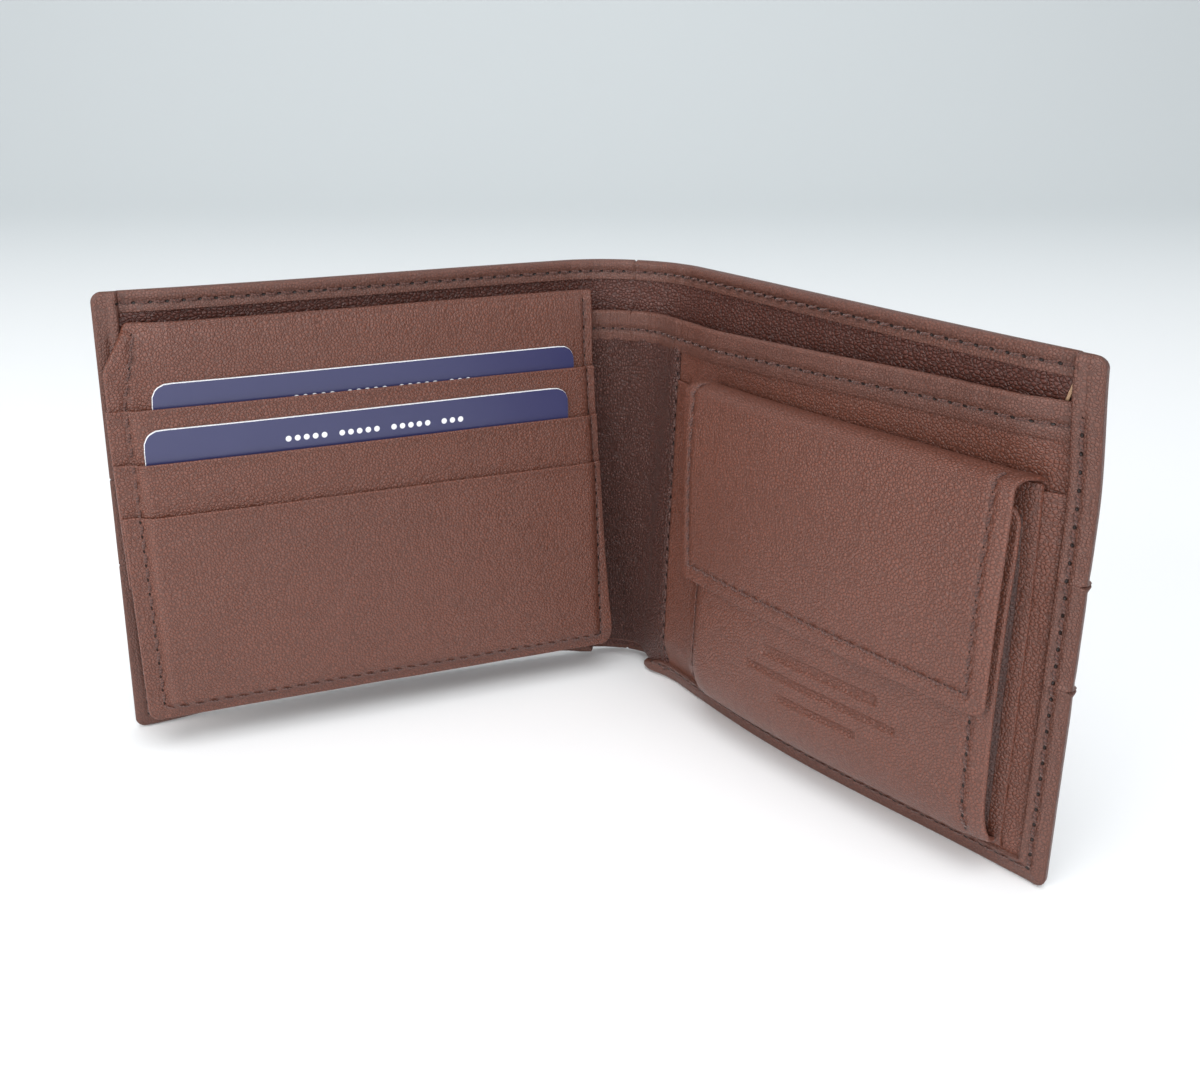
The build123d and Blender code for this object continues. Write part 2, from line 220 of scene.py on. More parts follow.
def round_corners(S, Z, radii):
    """Moves a grid's corner squares onto quarter discs; low z comes first, low s before high s."""
    s, z = np.meshgrid(S, Z, indexing="ij")
    out_s, out_z = s.copy(), z.copy()
    for (low_s, low_z), r in zip(((1, 1), (0, 1), (1, 0), (0, 0)), radii):
        if r <= 0:
            continue
        cs = S[0] + r if low_s else S[-1] - r
        cz = Z[0] + r if low_z else Z[-1] - r
        x = (cs - s) / r if low_s else (s - cs) / r
        y = (cz - z) / r if low_z else (z - cz) / r
        inside = (x > 0) & (y > 0)
        x, y = np.clip(x, 0, 1), np.clip(y, 0, 1)
        u, v = x * np.sqrt(1 - y * y / 2), y * np.sqrt(1 - x * x / 2)
        out_s = np.where(inside, cs - u * r if low_s else cs + u * r, out_s)
        out_z = np.where(inside, cz - v * r if low_z else cz + v * r, out_z)
    return out_s, out_z


def near_path(s, z, path):
    """(distance along a path in stitches, distance from it) for each point."""
    best = np.full(s.shape, 1e9)
    along = np.zeros(s.shape)
    total = sum(math.dist(a, b) for a, b in zip(path, path[1:]))
    pitch = total / max(1, round(total / STITCH))
    run = 0.0
    for (s0, z0), (s1, z1) in zip(path, path[1:]):
        length = math.dist((s0, z0), (s1, z1))
        us, uz = (s1 - s0) / length, (z1 - z0) / length
        t = np.clip((s - s0) * us + (z - z0) * uz, 0, length)
        gap = np.hypot(s - s0 - us * t, z - z0 - uz * t)
        along = np.where(gap < best, (run + t) / pitch, along)
        best = np.minimum(best, gap)
        run += length
    return along, best


def sheet_faces(ni, nj, rings):
    """The rim's vertex loop and the faces of two ni by nj grids, joined round their rim through rings."""
    index = np.arange(ni * nj).reshape(ni, nj)
    cell = np.stack([index[:-1, :-1], index[1:, :-1], index[1:, 1:], index[:-1, 1:]], -1).reshape(-1, 4)
    quads = cell.tolist() + (cell[:, ::-1] + ni * nj).tolist()
    loop = np.concatenate([index[:-1, 0], index[-1, :-1], index[:0:-1, -1], index[0, :0:-1]])
    count = len(loop)
    between = [2 * ni * nj + k * count + np.arange(count) for k in range(rings)]
    levels = [loop] + between + [loop + ni * nj]
    for a, c in zip(levels, levels[1:]):
        quads += np.stack([a, c, np.roll(c, -1), np.roll(a, -1)], -1).tolist()
    return loop, quads


def rim_normals(s, z):
    """The outward direction, within the sheet, at each point of a rim loop."""
    ts, tz = np.roll(s, -1) - np.roll(s, 1), np.roll(z, -1) - np.roll(z, 1)
    norm = np.hypot(ts, tz) + 1e-9
    return tz / norm, -ts / norm


def rim_rolls(rings):
    """How far out (sine) and how far across (cosine) each ring of a rolled rim lies."""
    turns = (math.pi * k / (rings + 1) for k in range(1, rings + 1))
    return [(math.sin(turn), math.cos(turn)) for turn in turns]


def make_object(name, verts, faces, attributes, material):
    mesh = bpy.data.meshes.new(name)
    mesh.from_pydata([tuple(v) for v in verts], [], faces)
    bm = bmesh.new()
    bm.from_mesh(mesh)
    bmesh.ops.recalc_face_normals(bm, faces=bm.faces)
    bm.to_mesh(mesh)
    bm.free()
    for key, values in attributes.items():
        data = mesh.attributes.new(key, "FLOAT_VECTOR", "POINT")
        data.data.foreach_set("vector", np.asarray(values, np.float32).ravel())
    mesh.polygons.foreach_set("use_smooth", [True] * len(mesh.polygons))
    mesh.materials.append(material)
    obj = bpy.data.objects.new(name, mesh)
    bpy.context.scene.collection.objects.link(obj)
    return obj


def slab(name, side, S, Z, front, back, material, radii=SQUARE, roll=0.35, seams=(), pleat=None,
         warp=None, rings=7, rim_highlight_share=0.7):
    """A closed leather sheet with a rolled rim: front(s, z) and back(s, z) give its faces' depths."""
    s, z = round_corners(S, Z, radii)
    if warp is not None:
        s, z = warp(s, z)
    f, b = front(s, z) + 0 * s, back(s, z) + 0 * s
    loop, quads = sheet_faces(*s.shape, rings)
    ls, lz, lf, lb = (a.ravel()[loop] for a in (s, z, f, b))
    ns, nz = rim_normals(ls, lz)
    out = roll(ls, lz) if callable(roll) else np.full(ls.shape, roll)
    all_s, all_z, all_d = [s.ravel(), s.ravel()], [z.ravel(), z.ravel()], [f.ravel(), b.ravel()]
    rim_highlight = [np.zeros(2 * s.size)]
    for away, across in rim_rolls(rings):
        all_s.append(ls + ns * out * away)
        all_z.append(lz + nz * out * away)
        all_d.append((lf + lb) / 2 + (lf - lb) / 2 * across)
        rim_highlight.append(np.full(ls.shape, rim_highlight_share))
    all_s, all_z, all_d, rim_highlight = (np.concatenate(a) for a in (all_s, all_z, all_d, rim_highlight))
    along, gap = np.zeros(all_s.shape), np.full(all_s.shape, NO_SEAM)
    for path in seams:
        u, v = near_path(all_s, all_z, path)
        along, gap = np.where(v < gap, u, along), np.minimum(v, gap)
    folds = pleat(all_s, all_z) if pleat is not None else np.zeros(all_s.shape)
    shift = RNG.uniform(0, 400, 3)
    page = np.stack([all_s + shift[0], all_z + shift[1], all_d + shift[2]], 1)
    seam = np.stack([along, gap, folds], 1)
    # The first entry of marks is the share of painted highlight on the rolled rim, then s and z.
    marks = np.stack([rim_highlight, all_s, all_z], 1)
    return make_object(name, place(side, all_s, all_d, all_z), quads,
                       {"page": page, "seam": seam, "marks": marks}, material)


def stitches(name, side, path, depth, material, face=1, length=0.84, radius=0.23):
    """A row of separate stitches along a path, on the surface depth(s, z): face 1 inside, -1 outside."""
    total = sum(math.dist(a, b) for a, b in zip(path, path[1:]))
    count = max(1, round(total / STITCH))
    pitch = total / count
    corners = np.cumsum([0] + [math.dist(a, b) for a, b in zip(path, path[1:])])
    verts, faces, pages, seams = [], [], [], []
    sections, sides = 9, 8
    for k in range(count):
        t = (k + 0.5 + (np.linspace(0, 1, sections) - 0.5) * length) * pitch
        s, z = (np.interp(t, corners, [p[axis] for p in path]) for axis in (0, 1))
        ds, dz = np.gradient(s), np.gradient(z)
        size = np.hypot(ds, dz) + 1e-9
        ds, dz = ds / size, dz / size
        slant = np.linspace(-1, 1, sections) * 0.16 * RNG.uniform(0.7, 1.3)
        arch = np.sin(np.linspace(0, math.pi, sections)) ** 0.55
        thick = radius * (0.55 + 0.45 * arch)
        rise = radius * (-1.5 + 2.1 * arch)
        start = len(verts)
        for i in range(sections):
            for q in range(sides):
                a = math.tau * q / sides
                side_shift = math.cos(a) * thick[i] + slant[i]
                ps, pz = s[i] - dz[i] * side_shift, z[i] + ds[i] * side_shift
                lift = rise[i] + math.sin(a) * thick[i]
                verts.append((ps, depth(ps, pz) + face * lift, pz))
                pages.append((t[i], math.cos(a) * thick[i], math.sin(a) * thick[i]))
                seams.append((q / sides, i / sections, 0))
        for i in range(sections - 1):
            for q in range(sides):
                a, b = start + i * sides + q, start + i * sides + (q + 1) % sides
                faces.append((a, b, b + sides, a + sides))
        faces.append(tuple(start + q for q in range(sides))[::-1])
        faces.append(tuple(start + (sections - 1) * sides + q for q in range(sides)))
    v = np.array(verts)
    return make_object(name, place(side, *v.T), faces, {"page": pages, "seam": seams}, material)


def fit(piece, slot, body=None, *nodes):
    """Hides the CAD nodes a piece stands in for and, if it is rigid, gives it its body; the material slot
    is not used.
    """
    if nodes:
        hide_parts(*nodes)
    if body:
        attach(piece, body)


# ---------------------------------------------------------------- materials
class Graph:
    """Short names for building a node material."""

    def __init__(self, name):
        self.material = bpy.data.materials.new(name)
        self.material.use_nodes = True
        self.tree = self.material.node_tree
        self.bsdf = self.tree.nodes["Principled BSDF"]

    def put(self, target, value):
        if isinstance(value, bpy.types.NodeSocket):
            self.tree.links.new(value, target)
        else:
            target.default_value = value

    def math(self, operation, a, b=0.0, c=0.0, clamp=False):
        node = self.tree.nodes.new("ShaderNodeMath")
        node.operation, node.use_clamp = operation, clamp
        for socket, value in zip(node.inputs, (a, b, c)):
            self.put(socket, value)
        return node.outputs[0]

    def times(self, a, b):
        return self.math("MULTIPLY", a, b)

    def plus(self, a, b):
        return self.math("ADD", a, b)

    def total(self, start, *parts):
        """start plus each value times its weight."""
        for value, weight in parts:
            start = self.plus(start, self.times(value, weight))
        return start

    def vector(self, operation, a, b):
        node = self.tree.nodes.new("ShaderNodeVectorMath")
        node.operation = operation
        self.put(node.inputs[0], a)
        self.put(node.inputs[1], b)
        return node.outputs[0]

    def attribute(self, name):
        node = self.tree.nodes.new("ShaderNodeAttribute")
        node.attribute_name = name
        return node.outputs["Vector"]

    def split(self, vector):
        node = self.tree.nodes.new("ShaderNodeSeparateXYZ")
        self.put(node.inputs[0], vector)
        return node.outputs

    def noise(self, vector, scale, detail=2.0, distortion=0.0):
        node = self.tree.nodes.new("ShaderNodeTexNoise")
        self.put(node.inputs["Vector"], vector)
        node.inputs["Scale"].default_value = scale
        node.inputs["Detail"].default_value = detail
        node.inputs["Distortion"].default_value = distortion
        return node.outputs["Fac"]

    def cells(self, vector, size, edge):
        node = self.tree.nodes.new("ShaderNodeTexVoronoi")
        node.feature = "DISTANCE_TO_EDGE" if edge else "F1"
        self.put(node.inputs["Vector"], vector)
        node.inputs["Scale"].default_value = 1 / size
        return node.outputs["Distance"]

    def ramp(self, value, a, b, low=0.0, high=1.0):
        node = self.tree.nodes.new("ShaderNodeMapRange")
        node.interpolation_type = "SMOOTHSTEP"
        for socket, given in zip(node.inputs, (value, a, b, low, high)):
            self.put(socket, given)
        return node.outputs["Result"]

    def mix(self, share, a, b):
        node = self.tree.nodes.new("ShaderNodeMix")
        node.data_type = "RGBA"
        self.put(node.inputs[0], share)
        self.put(node.inputs[6], a)
        self.put(node.inputs[7], b)
        return node.outputs[2]

    def bump(self, height, strength=1.0):
        node = self.tree.nodes.new("ShaderNodeBump")
        node.inputs["Strength"].default_value = strength
        node.inputs["Distance"].default_value = MM
        self.put(node.inputs["Height"], height)
        self.put(self.bsdf.inputs["Normal"], node.outputs["Normal"])

    def set(self, **values):
        for key, value in values.items():
            self.put(self.bsdf.inputs[key.replace("_", " ")], value)
        return self.material


def rgba(r, g, b):
    return (r, g, b, 1.0)


def tone(colour, factor):
    return tuple(c * factor for c in colour[:3]) + (1.0,)


def leather(name, colour, cell=0.5, grain=0.05, rough=0.46, crease=0.75, stretch=(1, 1, 1)):
    """Grained leather: pebbles of about cell mm with creases between, stitch holes, folds, and a painted
    highlight on rolled rims; creases, stitch grooves and holes are darkened as painted shade.
    """
    g = Graph(name)
    page = g.attribute("page")
    seam = g.split(g.attribute("seam"))
    marks = g.split(g.attribute("marks"))
    p = g.vector("MULTIPLY", page, stretch)
    wobble = g.noise(p, 1.3, 2.0)
    bent = g.vector("ADD", p, g.vector("MULTIPLY", (0.35, 0.3, 0.3), wobble))
    edges = g.ramp(g.cells(bent, cell, True), 0.0, 0.22)
    domes = g.math("SUBTRACT", 1.0, g.cells(bent, cell, False))
    fine = g.noise(p, 7.0, 3.0)
    patches = g.noise(p, 0.045, 3.0, 0.6)
    mottle = g.noise(p, 0.4, 3.0)
    wrinkle = g.noise(g.vector("MULTIPLY", p, (0.22, 0.12, 0.2)), 1.0, 4.0, 1.2)
    around = g.math("SUBTRACT", g.math("FRACT", g.plus(seam[0], 0.5)), 0.5)
    hole_u = g.math("POWER", g.times(around, STITCH / 0.4), 2.0)
    hole_v = g.math("POWER", g.math("DIVIDE", seam[1], 0.25), 2.0)
    hole = g.ramp(g.plus(hole_u, hole_v), 1.35, 0.35)
    groove = g.ramp(seam[1], 1.1, 0.1)
    fold_space = g.vector("MULTIPLY", page, (1.7, 0.16, 0.4))
    folds = g.times(g.noise(fold_space, 1.0, 3.0, 0.4), seam[2])
    g.bump(g.total(g.times(edges, grain), (domes, grain * 0.9), (fine, grain * 0.5), (wrinkle, 0.16),
                   (folds, 0.34), (groove, -0.16), (hole, -0.5)))
    base = g.mix(g.ramp(patches, 0.3, 0.72), tone(colour, 0.94), tone(colour, 1.06))
    base = g.mix(g.ramp(mottle, 0.35, 0.65), base, g.mix(0.5, base, tone(colour, 1.05)))
    # Painted shade: the creases between the pebbles are darkened towards 45 % of the colour.
    base = g.mix(g.times(g.math("SUBTRACT", 1.0, edges), crease), base, tone(colour, 0.45))
    # Painted highlight: the rolled rims are lightened in patches, as if catching the light.
    rim_highlight = g.times(marks[0], g.ramp(g.noise(p, 0.5, 3.0), 0.3, 0.7, 0.2, 1.0))
    base = g.mix(g.times(rim_highlight, 0.35), base, tone(colour, 1.5))
    # Painted shade: the stitch grooves are darkened a little and the stitch holes almost to black.
    base = g.mix(g.times(groove, 0.22), base, tone(colour, 0.5))
    base = g.mix(hole, base, tone(colour, 0.06))
    roughness = g.ramp(g.plus(g.times(mottle, 0.5), g.times(fine, 0.5)), 0.3, 0.7,
                       rough - 0.06, rough + 0.08)
    return g.set(Base_Color=base, Roughness=roughness, Specular_IOR_Level=0.5)


def thread_material(name, colour):
    g = Graph(name)
    p = g.split(g.attribute("page"))
    q = g.split(g.attribute("seam"))
    twist = g.plus(g.times(p[0], 9.0), g.times(q[0], math.tau))
    strand = g.math("SINE", twist)
    g.bump(g.times(strand, 0.05))
    fibres = g.noise(g.attribute("page"), 12.0, 3.0)
    shade = g.ramp(g.plus(g.times(strand, 0.35), fibres), 0.0, 1.0)
    return g.set(Base_Color=g.mix(shade, tone(colour, 0.6), tone(colour, 1.35)), Roughness=0.6,
                 Sheen_Weight=0.25, Sheen_Roughness=0.4)


def card_material(name):
    """Navy print with a row of plain white dot groups, fine satin speckle and light scratches."""
    g = Graph(name)
    page = g.attribute("page")
    local = g.split(g.attribute("marks"))
    column = g.math("DIVIDE", g.math("SUBTRACT", local[1], 24.0), 1.75)
    inside = g.times(g.math("GREATER_THAN", column, 0.0), g.math("LESS_THAN", column, 22.0))
    spot = g.times(g.math("SUBTRACT", g.math("FRACT", column), 0.5), 1.75)
    group = g.math("GREATER_THAN", g.math("MODULO", g.math("FLOOR", column), 6.0), 0.5)
    far = g.math("POWER", g.plus(g.math("POWER", spot, 2.0), g.math("POWER", local[2], 2.0)), 0.5)
    dots = g.times(g.times(inside, group), g.ramp(far, 0.62, 0.5))
    ink = g.mix(g.noise(page, 0.06, 2.0), rgba(0.023, 0.025, 0.086), rgba(0.029, 0.031, 0.100))
    speck = g.noise(page, 9.0, 2.0)
    ink = g.mix(g.times(speck, 0.12), ink, rgba(0.07, 0.07, 0.17))
    scratch = g.noise(g.vector("MULTIPLY", page, (0.3, 6.0, 1.0)), 1.0, 4.0)
    g.bump(g.plus(g.times(scratch, 0.004), g.times(dots, 0.02)))
    rough = g.ramp(scratch, 0.3, 0.7, 0.3, 0.42)
    return g.set(Base_Color=g.mix(dots, ink, rgba(0.78, 0.79, 0.83)), Roughness=rough, Coat_Weight=0.3,
                 Coat_Roughness=0.2)


def plain_material(name, colour, rough, size, metal=0.0, bump=0.02):
    """A finely speckled solid, for card cores, fibre board and brass."""
    g = Graph(name)
    coords = g.tree.nodes.new("ShaderNodeTexCoord").outputs["Object"]
    p = g.vector("MULTIPLY", coords, (1 / MM, 1 / MM, 1 / MM))
    grain = g.noise(p, 1 / size, 4.0)
    g.bump(g.times(grain, bump))
    return g.set(Base_Color=g.mix(g.ramp(grain, 0.3, 0.7), tone(colour, 0.85), tone(colour, 1.12)),
                 Roughness=g.ramp(grain, 0.3, 0.7, rough, rough + 0.12), Metallic=metal)


OUTER = leather("outer_nappa", rgba(0.125, 0.046, 0.031), 0.55, 0.05, 0.42)
PANEL = leather("panel_nappa", rgba(0.146, 0.049, 0.031), 0.58, 0.07, 0.35)
HEM = leather("hem_nappa", rgba(0.125, 0.046, 0.031), 0.5, 0.055, 0.42)
PEBBLED = leather("pebbled_lining", rgba(0.098, 0.031, 0.022), 0.62, 0.12, 0.36, 0.8, (0.75, 1.0, 1.0))
THREAD = thread_material("brown_thread", rgba(0.078, 0.026, 0.018))
CARD = card_material("navy_card")
CORE = plain_material("card_core", rgba(0.75, 0.77, 0.80), 0.4, 0.3)
FIBRE = plain_material("fibre_board", rgba(0.32, 0.22, 0.14), 0.75, 0.25, 0.0, 0.08)
BRASS = plain_material("stud_brass", rgba(0.72, 0.52, 0.25), 0.22, 0.4, 1.0, 0.01)
# Painted shade: the pouch's side walls are panel leather at about half its brightness, standing in for
# the shade they sit in.
SHADED_GUSSET = leather("shaded_gusset_leather", (0.070, 0.024, 0.017), 0.5, 0.06, 0.46)
RAW_EDGE = plain_material("raw_lining_edge", rgba(0.36, 0.22, 0.13), 0.6, 0.3, 0.0, 0.05)
PEBBLED_SPINE = leather("pebbled_facing", rgba(0.086, 0.029, 0.021), 0.7, 0.2, 0.36, 0.8)


# ---------------------------------------------------------------- cover
HEM_IN = 4.6
TOP_HEM = 4.1
SIDE_STITCH, BOTTOM_STITCH, TOP_STITCH = 2.7, 2.9, 2.3
SPINE_LAP = -0.35
HEM_LEVEL = {"coin": span("cover_lower_coin_side")[1][1] - 0.45,
             "card": span("cover_lower_card_side")[1][1] + 0.2}
COVER_ROLL = 0.75


def cover_front(side):
    level = HEM_LEVEL[side]

    def depth(s, z):
        flank = level * smooth(s, WIDTH - HEM_IN - 0.25, WIDTH - HEM_IN + 0.15)
        edge = HEM_IN * (0.35 + 0.65 * smooth(s, 8, 20))
        foot = level * smooth(z, edge - 0.1, edge - 0.5) * smooth(s, 8.5, 12.0)
        top = 2.35 * smooth(z, HEIGHT - TOP_HEM - 0.25, HEIGHT - TOP_HEM + 0.15)
        rim = np.minimum(WIDTH - s, z)
        pinch = 1.1 * smooth(rim, 3.5, 0.3) * smooth(s, 14, 20)
        ridge = sum(0.3 * bell(z, c, 0.8) * smooth(s, WIDTH - 4.5, WIDTH - 3) for c in SEAMS_Z)
        dent = 0.3 * bell(rim, SIDE_STITCH, 0.6) * smooth(s, 14, 20)
        crease = 0.12 * bell(HEIGHT - z, TOP_STITCH, 0.5)
        puckers = 0.12 * soft(s * 2.6, z * 0.5, 17, 9) * smooth(s, 30, 8)
        hem = np.maximum(flank, foot) - pinch - dent + ridge
        return np.maximum(hem, np.maximum(top, 0.9) - crease) + puckers

    return depth


def cover_back(s, z):
    bead = sum(0.85 * bell(z, c, 0.75, 4) for c in SEAMS_Z)
    tuck = sum(0.3 * bell(z, c, 2.4) for c in SEAMS_Z)
    rim = np.minimum(np.minimum(WIDTH - s, z), HEIGHT - z)
    puff = 0.35 * smooth(rim, 2.5, 14.0)
    stitch_dent = 0.22 * bell(rim, 3.6, 0.9)
    return -bead + tuck * 0.6 - puff + stitch_dent + 0.06 * soft(s, z, 31)


def hem_paths():
    """Stitch lines of a half: along the top, and along the foot and up the free edge."""
    top, outer = HEIGHT - TOP_STITCH, WIDTH - SIDE_STITCH
    return ([(0.0, top), (WIDTH - 4.4, top)],
            [(9.0, BOTTOM_STITCH), (outer, BOTTOM_STITCH), (outer, DIVIDER_TOP)])


def build_cover(side):
    front = cover_front(side)
    cuts = (0.0, SEAMS_Z[0], SEAMS_Z[1], HEIGHT)
    paths = hem_paths()
    names = ("lower", "band", "upper")
    hem_edge = WIDTH - HEM_IN
    S = lines(SPINE_LAP, WIDTH - COVER_ROLL, 0.8, (hem_edge, WIDTH - 2.5), 1.2, 9)
    pleat = lambda s, z: 0.55 * smooth(s, 24, 10) + 0.15 * smooth(s, WIDTH - 8, WIDTH - 3)
    for k, part in enumerate(names):
        low = cuts[k] + (COVER_ROLL if k == 0 else 0.0)
        high = cuts[k + 1] - (COVER_ROLL if k == 2 else 0.0)
        crowded = (HEM_IN - 0.3, 2.5, HEIGHT - TOP_HEM, HEIGHT - 2.5) + SEAMS_Z
        near = [z for z in crowded if low - 1 < z < high + 1]
        Z = lines(low, high, 0.8, near, 1.3, 9)
        radii = (0, 1.2 if k == 0 else 0, 0, 1.2 if k == 2 else 0)

        def roll(s, z, low=low, high=high, k=k):
            out = np.full(s.shape, COVER_ROLL)
            out = np.where((z > high - BRIM) & (k < 2), 0.02, out)
            out = np.where((z < low + BRIM) & (k > 0), 0.02, out)
            return np.where(s < SPINE_LAP + 0.01, 0.0, out)

        # The cover's rolled rim gets a smaller share of painted highlight.
        piece = slab(f"cover_{part}_{side}", side, S, Z, front, cover_back, OUTER,
                     radii, roll, paths, pleat, rim_highlight_share=0.35)
        bend(piece, side, "outer_leather", *side_nodes(f"cover_{part}", side))
    top, rest = paths
    for label, path in (("top", top), ("rim", rest)):
        for where, depth, face in (("inside", front, 1), ("outside", cover_back, -1)):
            row = stitches(f"thread_{label}_{side}_{where}", side, path, depth, THREAD, face)
            bend(row, side, "thread")


def bend(piece, side, slot, *nodes):
    """Fits a piece and bakes its transform into its mesh; the fold's ends between a half and the spine
    are worked out but not used.
    """
    fit(piece, slot, None, *nodes)
    start, end = (tuple(place(side, s, 0.5, 45.0)) for s in (BEND_END + 1.0, 5.0))
    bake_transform(piece)


def side_nodes(stem, side):
    """The CAD nodes of a skin on one half; the coin half's skin also stands in for the spine's."""
    return [f"{stem}_{side}_side"] + ([f"{stem}_spine"] if side == "coin" else [])


def open_end(roll, low_roll=None, low=None):
    """A rim that rolls out by roll, but not where a skin meets its other half at the spine."""
    def out(s, z):
        inner = roll if low is None else np.where(z < low, low_roll, roll)
        return np.where(s < SPINE_LAP + 0.01, 0.0, inner)

    return out


def build_linings(side):
    """Stiffener board and pebbled lining behind the bill compartment."""
    inset = 1.6
    rim = (0, 2, 0, 2)
    board = slab(f"stiffener_{side}", side,
                 lines(BEND_END, WIDTH - inset, 3), lines(inset, HEIGHT - inset, 3),
                 lambda s, z: 1.2 + 0 * s, lambda s, z: 0.95 + 0 * s, FIBRE, rim, 0.05)
    fit(board, "stiffener_board", f"{side}_half", f"stiffener_{side}_side")
    pleat = lambda s, z: 0.4 * smooth(s, 26, 10)
    skin = slab(f"bill_lining_{side}", side,
                lines(SPINE_LAP, WIDTH - inset, 0.9), lines(inset, HEIGHT - inset, 0.9),
                lambda s, z: 1.62 + 0.12 * soft(s, z, 5, 14), lambda s, z: 1.3 + 0 * s,
                PEBBLED, rim, open_end(0.1), (), pleat)
    bend(skin, side, "pebbled_leather", *side_nodes("bill_lining", side))


# ---------------------------------------------------------------- divider
BIND = 6.3
BIND_STITCH = 3.8
FACING_END = 20.6
FACING_SEAM = [(FACING_END - 0.35, 5.0), (FACING_END - 0.35, 75.0)]


def divider_rise(s, z):
    """The divider's top climbs a little towards the free edge."""
    return s, z + (1.7 * smooth(s, 30, 108) - 0.8 * smooth(s, 60, 15)) * smooth(z, 50, 75)


def divider_front(s, z):
    sag = 0.25 * soft(s, z, 11, 20)
    return DIVIDER_FRONT + sag * smooth(z, 4, 20) * smooth(s, 0, 30)


def build_divider(side):
    end = WIDTH - 2.2
    foot = lambda s, z: divider_rise(s, z + (2.2 * smooth(s, 16, 6)) * smooth(z, 12, 3))
    panel = slab(f"divider_{side}", side,
                 lines(SPINE_LAP, end, 0.9), lines(1.6, DIVIDER_TOP - 0.6, 0.9),
                 divider_front, lambda s, z: divider_front(s, z) - 0.6,
                 PANEL, (0, 2, 0, 0), open_end(0.25), (), None, foot)
    bend(panel, side, "panel_leather", f"divider_{side}_side")
    facing = slab(f"spine_facing_{side}", side,
                  lines(SPINE_LAP, FACING_END, 0.45, (FACING_END - 2.2, FACING_END), 0.8, 9),
                  lines(2.0, DIVIDER_TOP - BIND + 0.5, 0.8),
                  facing_front, lambda s, z: divider_front(s, z) + 0.02, PEBBLED_SPINE, SQUARE,
                  open_end(0.12), [FACING_SEAM] if side == "coin" else (),
                  lambda s, z: 0.08 + 0 * s, foot)
    bend(facing, side, "pebbled_leather", *side_nodes("divider", side)[1:])
    low = DIVIDER_TOP - BIND
    flat = [(s, DIVIDER_TOP - BIND_STITCH) for s in np.linspace(SPINE_LAP, WIDTH - 4.2, 60)]
    path = [tuple(float(v) for v in divider_rise(s, z)) for s, z in flat]
    pleat = lambda s, z: 1.0 * smooth(s, 30, 16) + 0.25
    band = slab(f"divider_binding_{side}", side, lines(SPINE_LAP, WIDTH - 3.4, 0.7),
                lines(low, DIVIDER_TOP - 0.75, 0.6, (DIVIDER_TOP, low + 0.3), 1.0, 7),
                binding_front, lambda s, z: divider_front(s, z) - 0.65,
                HEM, SQUARE, open_end(0.75, 0.12, low + 2), [path], pleat, divider_rise)
    bend(band, side, "panel_leather", *side_nodes("divider_binding", side))
    row = stitches(f"thread_binding_{side}", side, path, binding_front, THREAD)
    bend(row, side, "thread", *(["binding_stitching_coin_side"] if side == "coin" else []))


def facing_front(s, z):
    rib = 0.42 * bell(s, FACING_END - 1.5, 0.75) + 0.2 * bell(s, FACING_END - 3.6, 0.5)
    rib = rib * smooth(s, FACING_END - 6, FACING_END - 3)
    return divider_front(s, z) + 0.45 + rib + 0.1 * soft(s * 3, z, 3, 16)


def binding_front(s, z):
    z = z - (divider_rise(s, z)[1] - z)
    low = DIVIDER_TOP - BIND
    crown = 0.75 - 0.22 * ((z - low - BIND * 0.55) / (BIND * 0.5)) ** 2
    groove = 0.2 * bell(z, DIVIDER_TOP - BIND_STITCH, 0.7)
    return divider_front(s, z) + crown - groove + 0.12 * soft(s, z * 0.3, 9, 7)


# ---------------------------------------------------------------- coin half
pouch_low, pouch_high = span("coin_pouch_front")
flap_low, _ = span("coin_flap")
roll_low, roll_high = span("coin_flap_hinge")
POCKET_CREASE_Z = 63.8
POUCH_S = (pouch_low[0], pouch_high[0])
FLAP_AXIS = ((roll_low[1] + roll_high[1]) / 2, roll_low[2])
FLAP_RADIUS = (roll_high[1] - roll_low[1]) / 2
FLAP_CROWN = 2.1
FLAP_ARC = math.pi * FLAP_RADIUS
FLAP_FOOT = FLAP_ARC + FLAP_AXIS[1] - flap_low[2]
FLAP_STITCH, POUCH_STITCH = 3.2, 3.4
GUSSET_LEATHER, FLAP_LINING = 0.45, 0.38


def pocket_front(s, z):
    rise = smooth(z, 46, 68.5)
    mouth = hump((s - 21) / (WIDTH - 5 - 21)) ** 0.35
    left, right = smooth(s, 37, 26), smooth(s, 90, 104)
    gape = rise * mouth * (0.55 + 0.5 * left + 0.9 * right)
    pressed = 0.1 * bell(z, POCKET_CREASE_Z, 0.4)
    return 4.62 + gape - pressed + 0.06 * soft(s, z, 21)


def build_raw_edge():
    """The lining's pale cut edge, showing where it tucks under the corner of the hem."""
    slant = lambda s, z: (s + (z - 84.5) * 0.35, z)
    sliver = slab("lining_raw_edge", "coin", lines(107.6, 108.0, 0.15), lines(82.4, 86.4, 0.4),
                  lambda s, z: 2.9 + 0.15 * soft(s, z, 88, 3), lambda s, z: 1.5 + 0 * s,
                  RAW_EDGE, SQUARE, 0.06, (), None, slant)
    fit(sliver, "pebbled_leather", "coin_half")


def build_slip_pocket():
    z_low, z_high = 2.5, span("slip_pocket")[1][2] - 1.0
    pocket = slab("slip_pocket", "coin", edge_lines(FACING_END + 0.25, WIDTH - 3.6, 0.8),
                  lines(z_low, z_high - 0.35, 0.8, (z_high, POCKET_CREASE_Z), 1.2, 9), pocket_front,
                  lambda s, z: pocket_front(s, z) - 0.62, PANEL, SQUARE, 0.35, [FACING_SEAM])
    fit(pocket, "panel_leather", "coin_half", "slip_pocket")
    row = stitches("thread_facing", "coin", FACING_SEAM, lambda s, z: facing_front(s, z) - 0.15, THREAD)
    fit(row, "thread", "coin_half")


